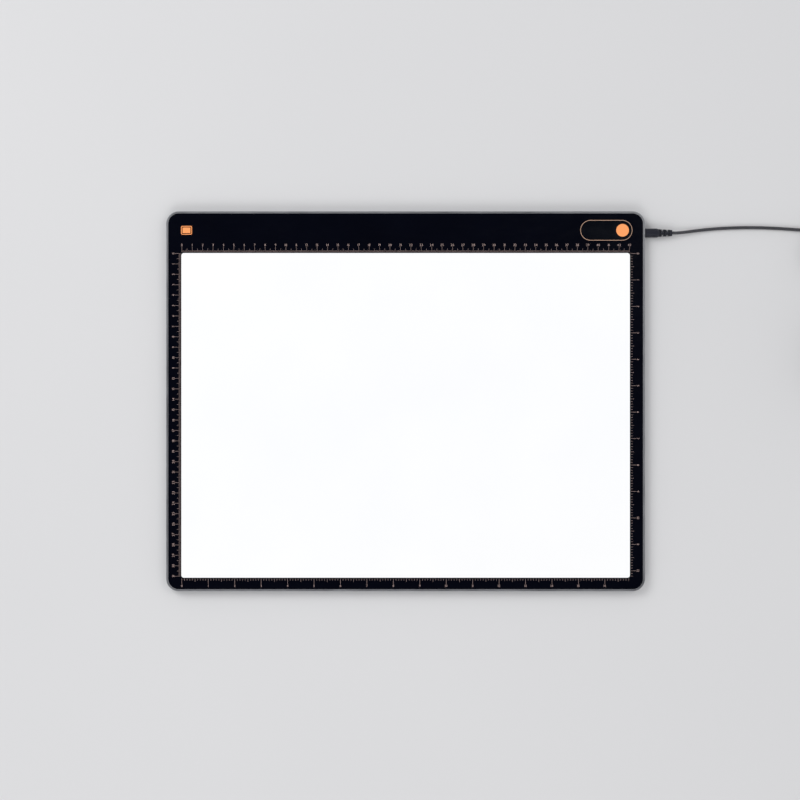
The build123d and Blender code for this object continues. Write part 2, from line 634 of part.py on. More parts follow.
def power_socket():
    """The socket's housing, with its nose through the frame wall."""
    inner = LENGTH / 2 - WALL
    back = inner - SOCKET_LENGTH
    half = SOCKET_WIDTH / 2
    body = block(back, inner - SOCKET_GAP, SOCKET_Y - half, SOCKET_Y + half, SOCKET_BOTTOM, SHELF_TOP)
    body += socket_rod(NOSE_DIAMETER, inner - SOCKET_GAP, LENGTH / 2)
    body -= socket_rod(SOCKET_BORE, LENGTH / 2 - SOCKET_BORE_DEPTH, LENGTH / 2)
    return body - socket_rod(PIN_DIAMETER, back, LENGTH / 2) - beside_sleeve(LEAF_FLEX, LEAF_GAP)


def beside_sleeve(flex, gap):
    """The leaf contact's block beside the sleeve, with room behind it and at its edges."""
    low_x = LENGTH / 2 - SOCKET_BORE_DEPTH + LEAF_THICKNESS
    face_y = SOCKET_Y - SLEEVE_DIAMETER / 2 - LEAF_GAP
    back_y = face_y - LEAF_THICKNESS - flex
    half = LEAF_HEIGHT / 2 + gap
    return block(low_x, low_x + LEAF_LENGTH + gap, back_y, face_y, SOCKET_Z - half, SOCKET_Z + half)


def socket_leaf():
    """The leaf contact that presses on the plug's sleeve."""
    return beside_sleeve(0, 0)


def socket_pin():
    """The socket's centre pin."""
    back = LENGTH / 2 - WALL - SOCKET_LENGTH
    pin = socket_rod(PIN_DIAMETER, back, LENGTH / 2 - SOCKET_PIN_SETBACK)
    return fillet(pin.faces().sort_by(Axis.X)[-1].edges(), PIN_DIAMETER / 4)


def plug_tube(outer, inner):
    """A tube of the plug's barrel, from its tip to its root in the moulding."""
    low, high = PLUG_X - SLEEVE_LENGTH, PLUG_X + SLEEVE_ROOT
    return socket_rod(outer, low, high) - socket_rod(inner, low, high)


def plug_moulding():
    """The plug's grip, flat above and below, and its slotted relief, moulded round the barrel's root."""
    grip, neck, tip = PLUG_WIDTH / 2, RELIEF_START_DIAMETER / 2, RELIEF_END_DIAMETER / 2
    shoulder = PLUG_GRIP_LENGTH + PLUG_SHOULDER
    outline = Polyline(
        (0, 0),
        (0, grip),
        (PLUG_GRIP_LENGTH, grip),
        (shoulder, neck),
        (PLUG_LENGTH, tip),
        (PLUG_LENGTH, 0),
        close=True,
    )
    turned = revolve(make_face(outline), Axis.X)
    rings = turned.edges().filter_by(GeomType.CIRCLE)
    grip_ends = [e for e in rings if round(e.center().X, 3) in (0, PLUG_GRIP_LENGTH)]
    turned = fillet(grip_ends, PLUG_ROUND)
    turned &= Box(4 * PLUG_LENGTH, 2 * PLUG_WIDTH, PLUG_HEIGHT)

    for i in range(FLUTES):
        angle = 2 * math.pi * i / FLUTES
        away = grip + FLUTE_DIAMETER / 2 - FLUTE_DEPTH
        length = PLUG_GRIP_LENGTH - 2 * FLUTE_END
        bar = Rot(0, 90, 0) * Cylinder(FLUTE_DIAMETER / 2, length, align=FROM_BELOW)
        turned -= Pos(FLUTE_END, away * math.cos(angle), away * math.sin(angle)) * bar

    for i in range(RELIEF_SLOTS):
        middle = shoulder + RELIEF_FIRST_SLOT + i * RELIEF_SLOT_PITCH
        ring = Cylinder(grip, RELIEF_SLOT_WIDTH) - Cylinder(RELIEF_CORE / 2, RELIEF_SLOT_WIDTH)
        web = (2 * grip, RELIEF_WEB) if i % 2 else (RELIEF_WEB, 2 * grip)
        ring -= Box(web[0], web[1], RELIEF_SLOT_WIDTH)
        turned -= Pos(middle, 0, 0) * Rot(0, 90, 0) * ring

    placed = Pos(PLUG_X, SOCKET_Y, SOCKET_Z) * turned
    return placed - socket_rod(SLEEVE_DIAMETER, PLUG_X, PLUG_X + SLEEVE_ROOT)


# ---- cord --------------------------------------------------------------------------------------------


def tube(path, diameter):
    """A round tube along a path."""
    return sweep(Plane(path @ 0, z_dir=path % 0) * Circle(diameter / 2), path=path)


def cord_tube(name, points):
    """A cord along straight runs joined by arcs as large as the runs allow; prints its smallest arc."""
    radii = []
    for before, corner, after in zip(points, points[1:], points[2:]):
        arriving, leaving = corner - before, after - corner
        turn = math.radians(arriving.get_angle(leaving))
        radii.append(ARC_SHARE * min(arriving.length, leaving.length) / math.tan(turn / 2))
    path = FilletPolyline(*points, radius=radii)
    made = tube(path, CORD_DIAMETER)
    section = math.pi * CORD_RADIUS**2
    share = made.volume / (section * path.length)
    radii_text = " ".join(f"{radius:.0f}" for radius in radii)
    print(f"{name}: {path.length:.1f} mm long, volume {share:.4f} of section times length, arcs {radii_text}")
    return made


# The lead runs from the plug's strain relief down to the table and along it, in one slack curve to the
# outer turn of the coil's bottom layer. Each point is measured from the plug's end, except that z is
# above the table.
LEAD_ROUTE = [
    (0.0, 0.0, SOCKET_Z),
    (6.0, 0.0, SOCKET_Z),
    (16.0, 1.3, 3.1),
    (30.0, 3.2, 1.8),
    (50.0, 4.9, CORD_RADIUS),
    (75.0, 5.6, CORD_RADIUS + 0.02),
    (99.0, 4.9, CORD_RADIUS),
    (121.0, 3.4, CORD_RADIUS + 0.05),
    (139.0, 2.1, COIL_BOTTOM_TURN - 0.15),
    (149.0, 1.6, COIL_BOTTOM_TURN),
]

# The tail runs from the outer turn of the coil's top layer to the adaptor's strain relief, and hangs a
# little between them. Each point is measured from the coil's middle, except that z is above the table.
TAIL_ROUTE = [
    (COIL_OUTER_TURN, -3.0, COIL_TOP_TURN),
    (COIL_OUTER_TURN - 0.4, -12.0, COIL_TOP_TURN - 0.2),
    (COIL_OUTER_TURN - 2.5, -22.5, COIL_TOP_TURN - 1.3),
    (COIL_OUTER_TURN - 5.2, -32.5, COIL_TOP_TURN - 2.5),
    (ADAPTOR_X + 0.3, -41.0, ADAPTOR_SPLIT - 0.15),
    (ADAPTOR_X, ADAPTOR_RELIEF_TIP + 4.0, ADAPTOR_SPLIT),
    (ADAPTOR_X, ADAPTOR_RELIEF_TIP, ADAPTOR_SPLIT),
]


def cord_lead():
    """The cord from the plug to the coil."""
    return cord_tube("cord_lead", [Vector(PLUG_END.X + x, PLUG_END.Y + y, z) for x, y, z in LEAD_ROUTE])


def cord_tail():
    """The cord from the coil to the adaptor."""
    return cord_tube("cord_tail", [Vector(COIL_CENTRE.X + x, COIL_CENTRE.Y + y, z) for x, y, z in TAIL_ROUTE])


def cord_coil():
    """The outer shape of the wound cord."""
    outline = RectangleRounded(COIL_BUNDLE_WIDTH, COIL_BUNDLE_HEIGHT, COIL_ROUND)
    section = Plane.XZ * Pos(COIL_MEAN_RADIUS, TIE_THICKNESS + COIL_BUNDLE_HEIGHT / 2) * outline
    return Pos(COIL_CENTRE.X, COIL_CENTRE.Y, 0) * revolve(section, Axis.Z)


def cord_tie():
    """The strap round the coil's bundle of turns."""
    inner = (COIL_BUNDLE_WIDTH + 2 * TIE_SLACK, COIL_BUNDLE_HEIGHT + TIE_SLACK)
    outer = (inner[0] + 2 * TIE_THICKNESS, inner[1] + 2 * TIE_THICKNESS)
    loop = RectangleRounded(*outer, COIL_ROUND + TIE_THICKNESS) - RectangleRounded(*inner, COIL_ROUND)
    section = Plane.XZ * Pos(COIL_MEAN_RADIUS, outer[1] / 2) * loop
    strap = revolve(section, Axis.Z, math.degrees(TIE_WIDTH / COIL_MEAN_RADIUS))
    return Pos(COIL_CENTRE.X, COIL_CENTRE.Y, 0) * Rot(0, 0, TIE_ANGLE) * strap


# ---- adaptor -----------------------------------------------------------------------------------------


def at_adaptor(shape, x=0.0, y=0.0, z=0.0):
    """A shape placed from the point of the table under the adaptor's middle."""
    return Pos(ADAPTOR_CENTRE_X + x, ADAPTOR_CENTRE_Y + y, z) * shape


def adaptor_block(inset):
    """The adaptor's rounded block, inset all round."""
    body = extrude(
        RectangleRounded(ADAPTOR_WIDTH - 2 * inset, ADAPTOR_LENGTH - 2 * inset, ADAPTOR_CORNER - inset),
        ADAPTOR_HEIGHT - 2 * inset,
    )
    faces = body.faces().sort_by(Axis.Z)
    return Pos(0, 0, inset) * fillet(faces[0].edges() + faces[-1].edges(), ADAPTOR_EDGE - inset / 2)


def adaptor_shell(low, high):
    """The adaptor's hollow block between two heights, with the hole for the cord's strain relief."""
    hollow = adaptor_block(0) - adaptor_block(ADAPTOR_WALL)
    half = (ADAPTOR_WIDTH, ADAPTOR_LENGTH)
    shell = hollow & block(-half[0], half[0], -half[1], half[1], low, high)
    hole = Rot(-90, 0, 0) * Cylinder(ADAPTOR_RELIEF_DIAMETER / 2, 3 * ADAPTOR_WALL)
    return shell - Pos(0, ADAPTOR_LENGTH / 2, ADAPTOR_SPLIT) * hole


def seam():
    """The groove round the joint between the two shells."""
    rings = []
    for margin in (SEAM_MARGIN, -SEAM_GROOVE):
        width, length = ADAPTOR_WIDTH + 2 * margin, ADAPTOR_LENGTH + 2 * margin
        rings.append(extrude(RectangleRounded(width, length, ADAPTOR_CORNER + margin), SEAM_GROOVE))
    return Pos(0, 0, ADAPTOR_SPLIT) * (rings[0] - rings[1])


def adaptor_back_shell():
    """The half of the adaptor that lies on the table."""
    return at_adaptor(adaptor_shell(0, ADAPTOR_SPLIT))


def pin_places():
    """The mains pins, from the adaptor's middle."""
    return [(side * MAINS_PIN_SPACING / 2, BOSS_OFFSET) for side in (-1, 1)]


def adaptor_front_shell():
    """The half with the six-sided boss that carries the pins."""
    half_length, half_width, half_flat = BOSS_LENGTH / 2, BOSS_WIDTH / 2, BOSS_FLAT / 2
    outline = Polyline(
        (-half_length, 0),
        (-half_flat, half_width),
        (half_flat, half_width),
        (half_length, 0),
        (half_flat, -half_width),
        (-half_flat, -half_width),
        close=True,
    )
    boss = extrude(make_face(outline), BOSS_HEIGHT + ADAPTOR_WALL)
    boss = fillet(boss.edges().filter_by(Axis.Z), BOSS_ROUND)
    boss = fillet(boss.faces().sort_by(Axis.Z)[-1].edges(), BOSS_ROUND / 3)
    shell = adaptor_shell(ADAPTOR_SPLIT, ADAPTOR_HEIGHT) - seam()
    shell += Pos(0, BOSS_OFFSET, ADAPTOR_HEIGHT - ADAPTOR_WALL) * boss
    for x, y in pin_places():
        shell -= upright(MAINS_PIN_NECK, x, y, ADAPTOR_HEIGHT - ADAPTOR_WALL, ADAPTOR_HEIGHT + BOSS_HEIGHT)
    return at_adaptor(shell)


def mains_pins():
    """The two round pins, necked where their sleeves are."""
    face = ADAPTOR_HEIGHT + BOSS_HEIGHT
    root = ADAPTOR_HEIGHT - ADAPTOR_WALL - MAINS_PIN_ROOT
    pins = []
    for x, y in pin_places():
        neck = upright(MAINS_PIN_NECK, x, y, root, face + PIN_SLEEVE_LENGTH)
        tip = upright(MAINS_PIN_DIAMETER, x, y, face + PIN_SLEEVE_LENGTH, face + MAINS_PIN_LENGTH)
        tip = fillet(tip.faces().sort_by(Axis.Z)[-1].edges(), MAINS_PIN_DIAMETER / 4)
        pins.append(at_adaptor(neck + tip))
    return Compound(children=pins)


def pin_sleeves():
    """The insulating sleeves on the pins' roots."""
    face = ADAPTOR_HEIGHT + BOSS_HEIGHT
    sleeves = []
    for x, y in pin_places():
        sleeve = upright(PIN_SLEEVE_DIAMETER, x, y, face, face + PIN_SLEEVE_LENGTH)
        sleeves.append(at_adaptor(sleeve - upright(MAINS_PIN_NECK, x, y, face, face + PIN_SLEEVE_LENGTH)))
    return Compound(children=sleeves)


def adaptor_strain_relief():
    """The tapered relief round the cord, held by its flange inside the shells."""
    tip, root = CORD_RADIUS + ADAPTOR_RELIEF_TIP_WALL, ADAPTOR_RELIEF_DIAMETER / 2
    flange_radius, flange_thickness = ADAPTOR_FLANGE[0] / 2, ADAPTOR_FLANGE[1]
    outline = Polyline(
        (0, -ADAPTOR_WALL - flange_thickness),
        (flange_radius, -ADAPTOR_WALL - flange_thickness),
        (flange_radius, -ADAPTOR_WALL),
        (root, -ADAPTOR_WALL),
        (root, ADAPTOR_RELIEF_COLLAR),
        (tip, ADAPTOR_RELIEF_LENGTH),
        (0, ADAPTOR_RELIEF_LENGTH),
        close=True,
    )
    relief = revolve(make_face(outline), Axis.Y)
    return at_adaptor(relief, 0, ADAPTOR_LENGTH / 2, ADAPTOR_SPLIT)


def adaptor_board():
    """The adaptor's circuit board."""
    low = ADAPTOR_BOARD_BOTTOM
    half_x, half_y = ADAPTOR_BOARD[0] / 2, ADAPTOR_BOARD[1] / 2
    return at_adaptor(block(-half_x, half_x, -half_y, half_y, low, low + ADAPTOR_BOARD[2]))


def adaptor_transformer():
    """The transformer: a square core round a fatter winding."""
    low = ADAPTOR_BOARD_BOTTOM + ADAPTOR_BOARD[2]
    width, length, height = TRANSFORMER
    core = block(-width / 2, width / 2, -TRANSFORMER_CORE / 2, TRANSFORMER_CORE / 2, low, low + height)
    half = width * WINDING_WIDTH_SHARE / 2
    winding = block(-half, half, -length / 2, length / 2, low, low + height * WINDING_HEIGHT_SHARE)
    winding = fillet(winding.edges().filter_by(Axis.Y), WINDING_ROUND)
    return at_adaptor(core + winding, *TRANSFORMER_PLACE)


def adaptor_capacitors():
    """The adaptor's three round capacitors, lying on the board."""
    lying = Rot(90, 0, 0) * Cylinder(CAPACITOR_DIAMETER / 2, CAPACITOR_LENGTH)
    z = ADAPTOR_BOARD_BOTTOM + ADAPTOR_BOARD[2] + CAPACITOR_DIAMETER / 2
    return Compound(children=[at_adaptor(lying, x, y, z) for x, y in CAPACITOR_PLACES])


parts = {
    "frame": frame(),
    "cover_panel": cover_panel(),
    "border_overlay": border_overlay(),
    "panel_tape": panel_tape(),
    "back_cover": back_cover(),
    "back_screws": back_screws(),
    "reflector_sheet": guide_sheet(INNER_FLOOR, REFLECTOR_THICKNESS),
    "light_guide": guide_sheet(GUIDE_BOTTOM, GUIDE_THICKNESS),
    "prism_film": guide_sheet(PRISM_BOTTOM, PRISM_THICKNESS),
    "diffuser_sheet": guide_sheet(DIFFUSER_BOTTOM, DIFFUSER_THICKNESS),
    "light_frame": light_frame(),
    "foam_gasket": light_frame_ring(STACK_TOP, PANEL_BOTTOM),
    "front_led_strip": led_strip(FRONT_STRIP_Y),
    "rear_led_strip": led_strip(REAR_STRIP_Y),
    "front_leds": leds(FRONT_STRIP_Y + STRIP_THICKNESS),
    "rear_leds": leds(REAR_STRIP_Y - LED_DEPTH),
    "front_led_leads": front_led_leads(),
    "rear_led_leads": rear_led_leads(),
    "control_board": control_board(),
    "board_screws": board_screws(),
    "power_chip": power_chip(),
    "touch_chip": touch_chip(),
    "inductor": inductor(),
    "small_capacitors": small_capacitors(),
    "strip_connectors": strip_connectors(),
    "touch_film": touch_film(),
    "touch_spring": touch_spring(),
    "power_socket": power_socket(),
    "socket_pin": socket_pin(),
    "socket_leaf": socket_leaf(),
    "plug_sleeve": plug_tube(SLEEVE_DIAMETER, INSULATOR_DIAMETER),
    "plug_insulator": plug_tube(INSULATOR_DIAMETER, CONTACT_DIAMETER),
    "plug_contact": plug_tube(CONTACT_DIAMETER, CONTACT_BORE),
    "plug_moulding": plug_moulding(),
    "cord_lead": cord_lead(),
    "cord_coil": cord_coil(),
    "cord_tie": cord_tie(),
    "cord_tail": cord_tail(),
    "adaptor_strain_relief": adaptor_strain_relief(),
    "adaptor_back_shell": adaptor_back_shell(),
    "adaptor_front_shell": adaptor_front_shell(),
    "mains_pins": mains_pins(),
    "pin_sleeves": pin_sleeves(),
    "adaptor_board": adaptor_board(),
    "adaptor_transformer": adaptor_transformer(),
    "adaptor_capacitors": adaptor_capacitors(),
}
for name, (x, y) in foot_places().items():
    parts[name] = foot(x, y)

os.makedirs("parts", exist_ok=True)
for name, shape in parts.items():
    export_step(shape, f"parts/{name}.step")
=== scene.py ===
import math

import bmesh
import bpy
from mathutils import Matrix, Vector


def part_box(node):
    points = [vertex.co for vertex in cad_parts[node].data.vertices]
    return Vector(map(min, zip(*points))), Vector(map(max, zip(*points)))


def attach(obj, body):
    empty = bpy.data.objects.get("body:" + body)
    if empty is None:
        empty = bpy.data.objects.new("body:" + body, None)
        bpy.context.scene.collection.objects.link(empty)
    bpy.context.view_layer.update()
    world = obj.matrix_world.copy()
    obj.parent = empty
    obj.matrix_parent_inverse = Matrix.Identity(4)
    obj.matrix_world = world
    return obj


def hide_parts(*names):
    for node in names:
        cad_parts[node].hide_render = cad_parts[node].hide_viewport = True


# A lit light box for tracing, seen from straight above. Everything is in metres, in the frame of the CAD
# model: +X along the long side, +Y towards the wide border, +Z up, and the origin under the casing's middle.
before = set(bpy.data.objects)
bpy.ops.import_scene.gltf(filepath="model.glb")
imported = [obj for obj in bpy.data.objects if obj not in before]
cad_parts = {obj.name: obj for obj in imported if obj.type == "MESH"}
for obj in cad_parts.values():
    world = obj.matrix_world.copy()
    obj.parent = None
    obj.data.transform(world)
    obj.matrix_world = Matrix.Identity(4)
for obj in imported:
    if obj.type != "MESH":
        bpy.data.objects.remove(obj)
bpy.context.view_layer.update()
MM = 0.001

# ---- places on the casing ----------------------------------------------------------------------------
CASING_LOW, CASING_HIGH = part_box("frame")
FILM_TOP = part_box("border_overlay")[1].z
WINDOW_LEFT = CASING_LOW.x + 14.5 * MM
WINDOW_RIGHT = CASING_HIGH.x - 14.5 * MM
WINDOW_FRONT = CASING_LOW.y + 13 * MM
WINDOW_REAR = CASING_HIGH.y - 40 * MM

# ---- print on the border film ------------------------------------------------------------------------
INK_THICKNESS = 0.03 * MM
SCALE_ZERO = 0.5 * MM  # window corner to the first tick
TICK_GAP = 0.7 * MM  # window edge to the ticks
TICKS_IN_UNIT = 10
CENTIMETRES = {"unit": 10 * MM, "small": 2.5 * MM, "middle": 4.2 * MM, "large": 6.2 * MM, "line": 0.17 * MM}
INCHES = {"unit": 25.4 * MM, "small": 2.7 * MM, "middle": 3.9 * MM, "large": 6.0 * MM, "line": 0.22 * MM}
REAR_CENTIMETRES = 43
LEFT_CENTIMETRES = 31
FRONT_INCHES = 16.9
RIGHT_INCHES = 12.2
DIGIT_HEIGHT = 2.2 * MM
DIGIT_FROM_WINDOW = 7.7 * MM  # to the digits' middle
DIGIT_SPACING = 0.42 * MM
DIGIT_CURVE_STEPS = 4
DIGIT_HALF_DEPTH = 0.5  # in a digit of size 1, before its depth is scaled to the ink's thickness
DIGIT_MERGE = 0.002  # in a digit of size 1, the distance at which two points become one
DIGIT_EMPTY_AREA = 1e-6  # in a digit of size 1, the area under which a face counts as empty
TOUCH_CENTRE = ((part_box("touch_film")[0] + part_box("touch_film")[1]) / 2).to_2d()
TOUCH_SIZE = Vector((50.0, 19.6)) * MM
TOUCH_LINE = 0.45 * MM
TOUCH_TINT_THICKNESS = 0.01 * MM
DOT_RADIUS = 6.1 * MM
DOT_X = (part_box("touch_spring")[0].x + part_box("touch_spring")[1].x) / 2
PICTOGRAM_CENTRE = Vector((CASING_LOW.x + 19.5 * MM, TOUCH_CENTRE.y))
PICTOGRAM_SIZE = Vector((10.6, 8.4)) * MM
PICTOGRAM_LINE = 0.7 * MM
PICTOGRAM_RADIUS = 1.4 * MM
PICTOGRAM_GAP = 0.8 * MM
PICTOGRAM_PANEL_RADIUS = PICTOGRAM_RADIUS / 4
DOT_STEPS = 96  # round the whole dot
SLOT_END_STEPS = 32  # round each end of the touch outline
CORNER_STEPS = 8  # round each corner of the pictogram

# ---- camera and cord ---------------------------------------------------------------------------------
CAMERA_LENS = 100.0
CAMERA_SENSOR = 36.0
VIEW_WIDTH = 0.7685  # seen at the height of the border film
CAMERA_OFFSET = (-5.4 * MM, 1.25 * MM)  # from the casing's middle

CORD_DIAMETER = 3.0 * MM
PLUG_LOW, PLUG_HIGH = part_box("plug_moulding")
PLUG_END = Vector((PLUG_HIGH.x, (PLUG_LOW.y + PLUG_HIGH.y) / 2, (PLUG_LOW.z + PLUG_HIGH.z) / 2))
COIL_CENTRE = (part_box("cord_coil")[0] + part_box("cord_coil")[1]) / 2
COIL_RADIUS = 18.0 * MM  # to the middle of the turns
COIL_PITCH = 3.2 * MM
COIL_BOTTOM_TURN = 2.1 * MM
COIL_COLUMNS = 3
COIL_LAYERS = 4
COIL_OUTER_TURN = COIL_RADIUS + COIL_PITCH
COIL_TOP_TURN = COIL_BOTTOM_TURN + (COIL_LAYERS - 1) * COIL_PITCH
COIL_POINTS = 24  # to a turn
COIL_START = math.radians(90)
CROSSING_MIDDLE = math.radians(180)  # where the turns step over to their next place
CROSSING_WIDTH = math.radians(160)
CROSSING_BULGE = 0.42 * COIL_PITCH
ADAPTOR_X = 14.0 * MM  # from the coil's middle
ADAPTOR_RELIEF_TIP = -52.0 * MM
ADAPTOR_SPLIT = 9.0 * MM

# ---- studio ------------------------------------------------------------------------------------------
SURROUND = ((0.0, 0.4), (0.93, 0.02), (0.1, 0.8), (0.74, 0.8))  # height on a unit sky, and brightness
SURROUND_COOLNESS = 1.02
FLOOR_HALF = 20.0  # out to its edges
FLOOR_DROP = 0.05 * MM  # under the feet
LIGHTS = (  # name, place, size and power
    ("key", (-1.5, 1.2, 2.0), 1.5, 32),
    ("fill", (1.15, 0.5, 2.2), 0.9, 8),
    ("front", (-0.3, -1.7, 1.9), 1.5, 16),
)

# ---- surfaces ----------------------------------------------------------------------------------------
NOISE_SPAN = (0.3, 0.7)  # what most of a noise lies within
GRAIN_SHARE, PATCH_SHARE = 0.35, 0.65  # of a grained surface's shade
GLOSS_SPREAD = 0.12  # of a grained surface's roughness
PANEL_GLOW = 0.665
GUIDE_DOT_GRID = 1.4 * MM
FILM_SPECULAR = 0.45
FILM_RIPPLE = 1.6 * MM
FILM_RIPPLE_DEPTH = 0.0015 * MM
INK_GRAIN_DEPTH = 0.004 * MM
ACRYLIC_IOR = 1.49


def place_camera():
    """A long lens, straight above."""
    camera = bpy.data.objects.new("camera", bpy.data.cameras.new("camera"))
    camera.data.lens = CAMERA_LENS
    camera.data.sensor_width = CAMERA_SENSOR
    height = VIEW_WIDTH * CAMERA_LENS / CAMERA_SENSOR
    camera.location = (CAMERA_OFFSET[0], CAMERA_OFFSET[1], FILM_TOP + height)
    bpy.context.scene.collection.objects.link(camera)
    bpy.context.scene.camera = camera


def lead_route():
    """The route from the plug to the coil, in mm from the plug's end and in height over the table."""
    axis = PLUG_END.z / MM
    points = [
        (0.0, 0.0, axis),
        (6.0, 0.0, axis),
        (16.0, 1.3, 3.1),
        (30.0, 3.2, 1.8),
        (50.0, 4.9, 1.5),
        (75.0, 5.6, 1.52),
        (99.0, 4.9, 1.5),
        (121.0, 3.4, 1.55),
        (139.0, 2.1, 1.95),
        (149.0, 1.6, 2.1),
    ]
    return [Vector((PLUG_END.x + x * MM, PLUG_END.y + y * MM, z * MM)) for x, y, z in points]


def tail_route():
    """The route from the coil to the adaptor, in mm from the coil's middle and in height over the table."""
    outer, top = COIL_OUTER_TURN / MM, COIL_TOP_TURN / MM
    adaptor, split, tip = ADAPTOR_X / MM, ADAPTOR_SPLIT / MM, ADAPTOR_RELIEF_TIP / MM
    points = [
        (outer, -3.0, top),
        (outer - 0.4, -12.0, top - 0.2),
        (outer - 2.5, -22.5, top - 1.3),
        (outer - 5.2, -32.5, top - 2.5),
        (adaptor + 0.3, -41.0, split - 0.15),
        (adaptor, tip + 4.0, split),
        (adaptor, tip, split),
    ]
    return [Vector((COIL_CENTRE.x + x * MM, COIL_CENTRE.y + y * MM, z * MM)) for x, y, z in points]


def coil_places():
    """Each turn's column and layer, in the order that the cord goes through them."""
    places = []
    for layer in range(COIL_LAYERS):
        columns = range(COIL_COLUMNS)
        inwards = layer % 2 == 0
        places += [(column, layer) for column in (reversed(columns) if inwards else columns)]
    return places


def coil_turn(turned, first, places):
    """The cord's column, layer and bulge after it has turned so far, with the first crossing at an angle."""
    passed = (turned - first + CROSSING_WIDTH / 2) / (2 * math.pi)
    index = math.floor(passed) + 1 if passed >= 0 else 0
    share = min(1.0, (passed % 1.0) * 2 * math.pi / CROSSING_WIDTH) if passed >= 0 else 1.0
    here = places[max(0, index - 1)]
    there = places[min(index, len(places) - 1)]
    eased = share * share * (3 - 2 * share)
    column = here[0] + (there[0] - here[0]) * eased
    layer = here[1] + (there[1] - here[1]) * eased
    climbs = here[1] != there[1]
    outward = 1 if here[0] > 0 else -1
    bulge = outward * CROSSING_BULGE * 4 * eased * (1 - eased) if climbs else 0
    return column, layer, bulge


def coil_route():
    """The turns, clockwise from the coil's far side, stepping to the next place at one crossing a turn."""
    places = coil_places()
    step = 2 * math.pi / COIL_POINTS
    first = 2 * math.pi + COIL_START - CROSSING_MIDDLE
    total = first + (len(places) - 2) * 2 * math.pi + CROSSING_MIDDLE
    points = []
    for i in range(1, int(total / step)):
        column, layer, bulge = coil_turn(i * step, first, places)
        radius = COIL_RADIUS + (column - (COIL_COLUMNS - 1) / 2) * COIL_PITCH + bulge
        angle = COIL_START - i * step
        x = COIL_CENTRE.x + radius * math.cos(angle)
        y = COIL_CENTRE.y + radius * math.sin(angle)
        points.append(Vector((x, y, COIL_BOTTOM_TURN + layer * COIL_PITCH)))
    return points


def cord_curve():
    """One smooth curve from the plug through the coil to the adaptor."""
    curve = bpy.data.curves.new("power_cord", "CURVE")
    curve.dimensions = "3D"
    spline = curve.splines.new("NURBS")
    route = lead_route() + coil_route() + tail_route()
    spline.points.add(len(route) - 1)
    for point, place in zip(spline.points, route):
        point.co = (*place, 1)
    spline.order_u = 3
    spline.use_endpoint_u = True
    spline.resolution_u = 6
    curve.bevel_depth = CORD_DIAMETER / 2
    curve.bevel_resolution = 5
    return curve


def make_cord(material):
    """The whole cord, in the place of its three CAD solids."""
    curve = cord_curve()
    curve.materials.append(material)
    cord = bpy.data.objects.new("power_cord", curve)
    bpy.context.scene.collection.objects.link(cord)
    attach(cord, "power_lead")
    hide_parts("cord_lead", "cord_coil", "cord_tail")


def soft_light(name, place, size, power):
    """A square white softbox that faces the casing's middle."""
    data = bpy.data.lights.new(name, "AREA")
    data.size = size
    data.energy = power
    light = bpy.data.objects.new(name, data)
    light.location = place
    light.rotation_euler = (-Vector(place)).to_track_quat("-Z", "Y").to_euler()
    bpy.context.scene.collection.objects.link(light)


def make_world():
    """A pale surround that meets the floor at the horizon, and is dark overhead for the glossy film."""
    world = bpy.data.worlds.new("surround")
    bpy.context.scene.world = world
    world.use_nodes = True
    nodes, links = world.node_tree.nodes, world.node_tree.links
    place = nodes.new("ShaderNodeTexCoord")
    split = nodes.new("ShaderNodeSeparateXYZ")
    ramp = nodes.new("ShaderNodeValToRGB")
    links.new(place.outputs["Generated"], split.inputs[0])
    links.new(split.outputs["Z"], ramp.inputs["Fac"])
    stops = ramp.color_ramp.elements
    for i, (height, grey) in enumerate(SURROUND):
        stop = stops[i] if i < 2 else stops.new(height)
        stop.position = height
        stop.color = (grey, grey, grey * SURROUND_COOLNESS, 1)
    links.new(ramp.outputs["Color"], nodes["Background"].inputs["Color"])
    nodes["Background"].inputs["Strength"].default_value = 1.0


def make_floor(material):
    """The plain table that the object stands on."""
    mesh = bpy.data.meshes.new("floor")
    sides = ((-1, -1), (1, -1), (1, 1), (-1, 1))
    mesh.from_pydata([(x * FLOOR_HALF, y * FLOOR_HALF, 0) for x, y in sides], [], [(0, 1, 2, 3)])
    mesh.materials.append(material)
    floor = bpy.data.objects.new("floor", mesh)
    floor.location.z = -FLOOR_DROP
    bpy.context.scene.collection.objects.link(floor)


# ---- material parts ----------------------------------------------------------------------------------


def new_material(name):
    """An empty principled material, with its tree and shader."""
    material = bpy.data.materials.new(name)
    material.use_nodes = True
    return material, material.node_tree, material.node_tree.nodes["Principled BSDF"]


def position(tree):
    """The surface's place in the object, in metres."""
    return tree.nodes.new("ShaderNodeTexCoord").outputs["Object"]


def stretched(tree, vector, scale):
    """A vector scaled along each axis."""
    mapping = tree.nodes.new("ShaderNodeMapping")
    mapping.inputs["Scale"].default_value = scale
    tree.links.new(vector, mapping.inputs["Vector"])
    return mapping.outputs["Vector"]


def noise(tree, vector, size, detail=2.0, roughness=0.5):
    """Noise with features of about the given size."""
    node = tree.nodes.new("ShaderNodeTexNoise")
    node.inputs["Scale"].default_value = 1 / size
    node.inputs["Detail"].default_value = detail
    node.inputs["Roughness"].default_value = roughness
    tree.links.new(vector, node.inputs["Vector"])
    return node.outputs["Fac"]


def remap(tree, value, span, to=(0.0, 1.0)):
    """A value mapped from one span to another, kept inside it."""
    node = tree.nodes.new("ShaderNodeMapRange")
    for name, number in zip(("From Min", "From Max", "To Min", "To Max"), (*span, *to)):
        node.inputs[name].default_value = number
    tree.links.new(value, node.inputs["Value"])
    return node.outputs["Result"]


def shades(tree, value, dark, light):
    """A colour between two, by a value from 0 to 1."""
    ramp = tree.nodes.new("ShaderNodeValToRGB")
    ramp.color_ramp.elements[0].color = (*dark, 1)
    ramp.color_ramp.elements[1].color = (*light, 1)
    tree.links.new(value, ramp.inputs["Fac"])
    return ramp.outputs["Color"]


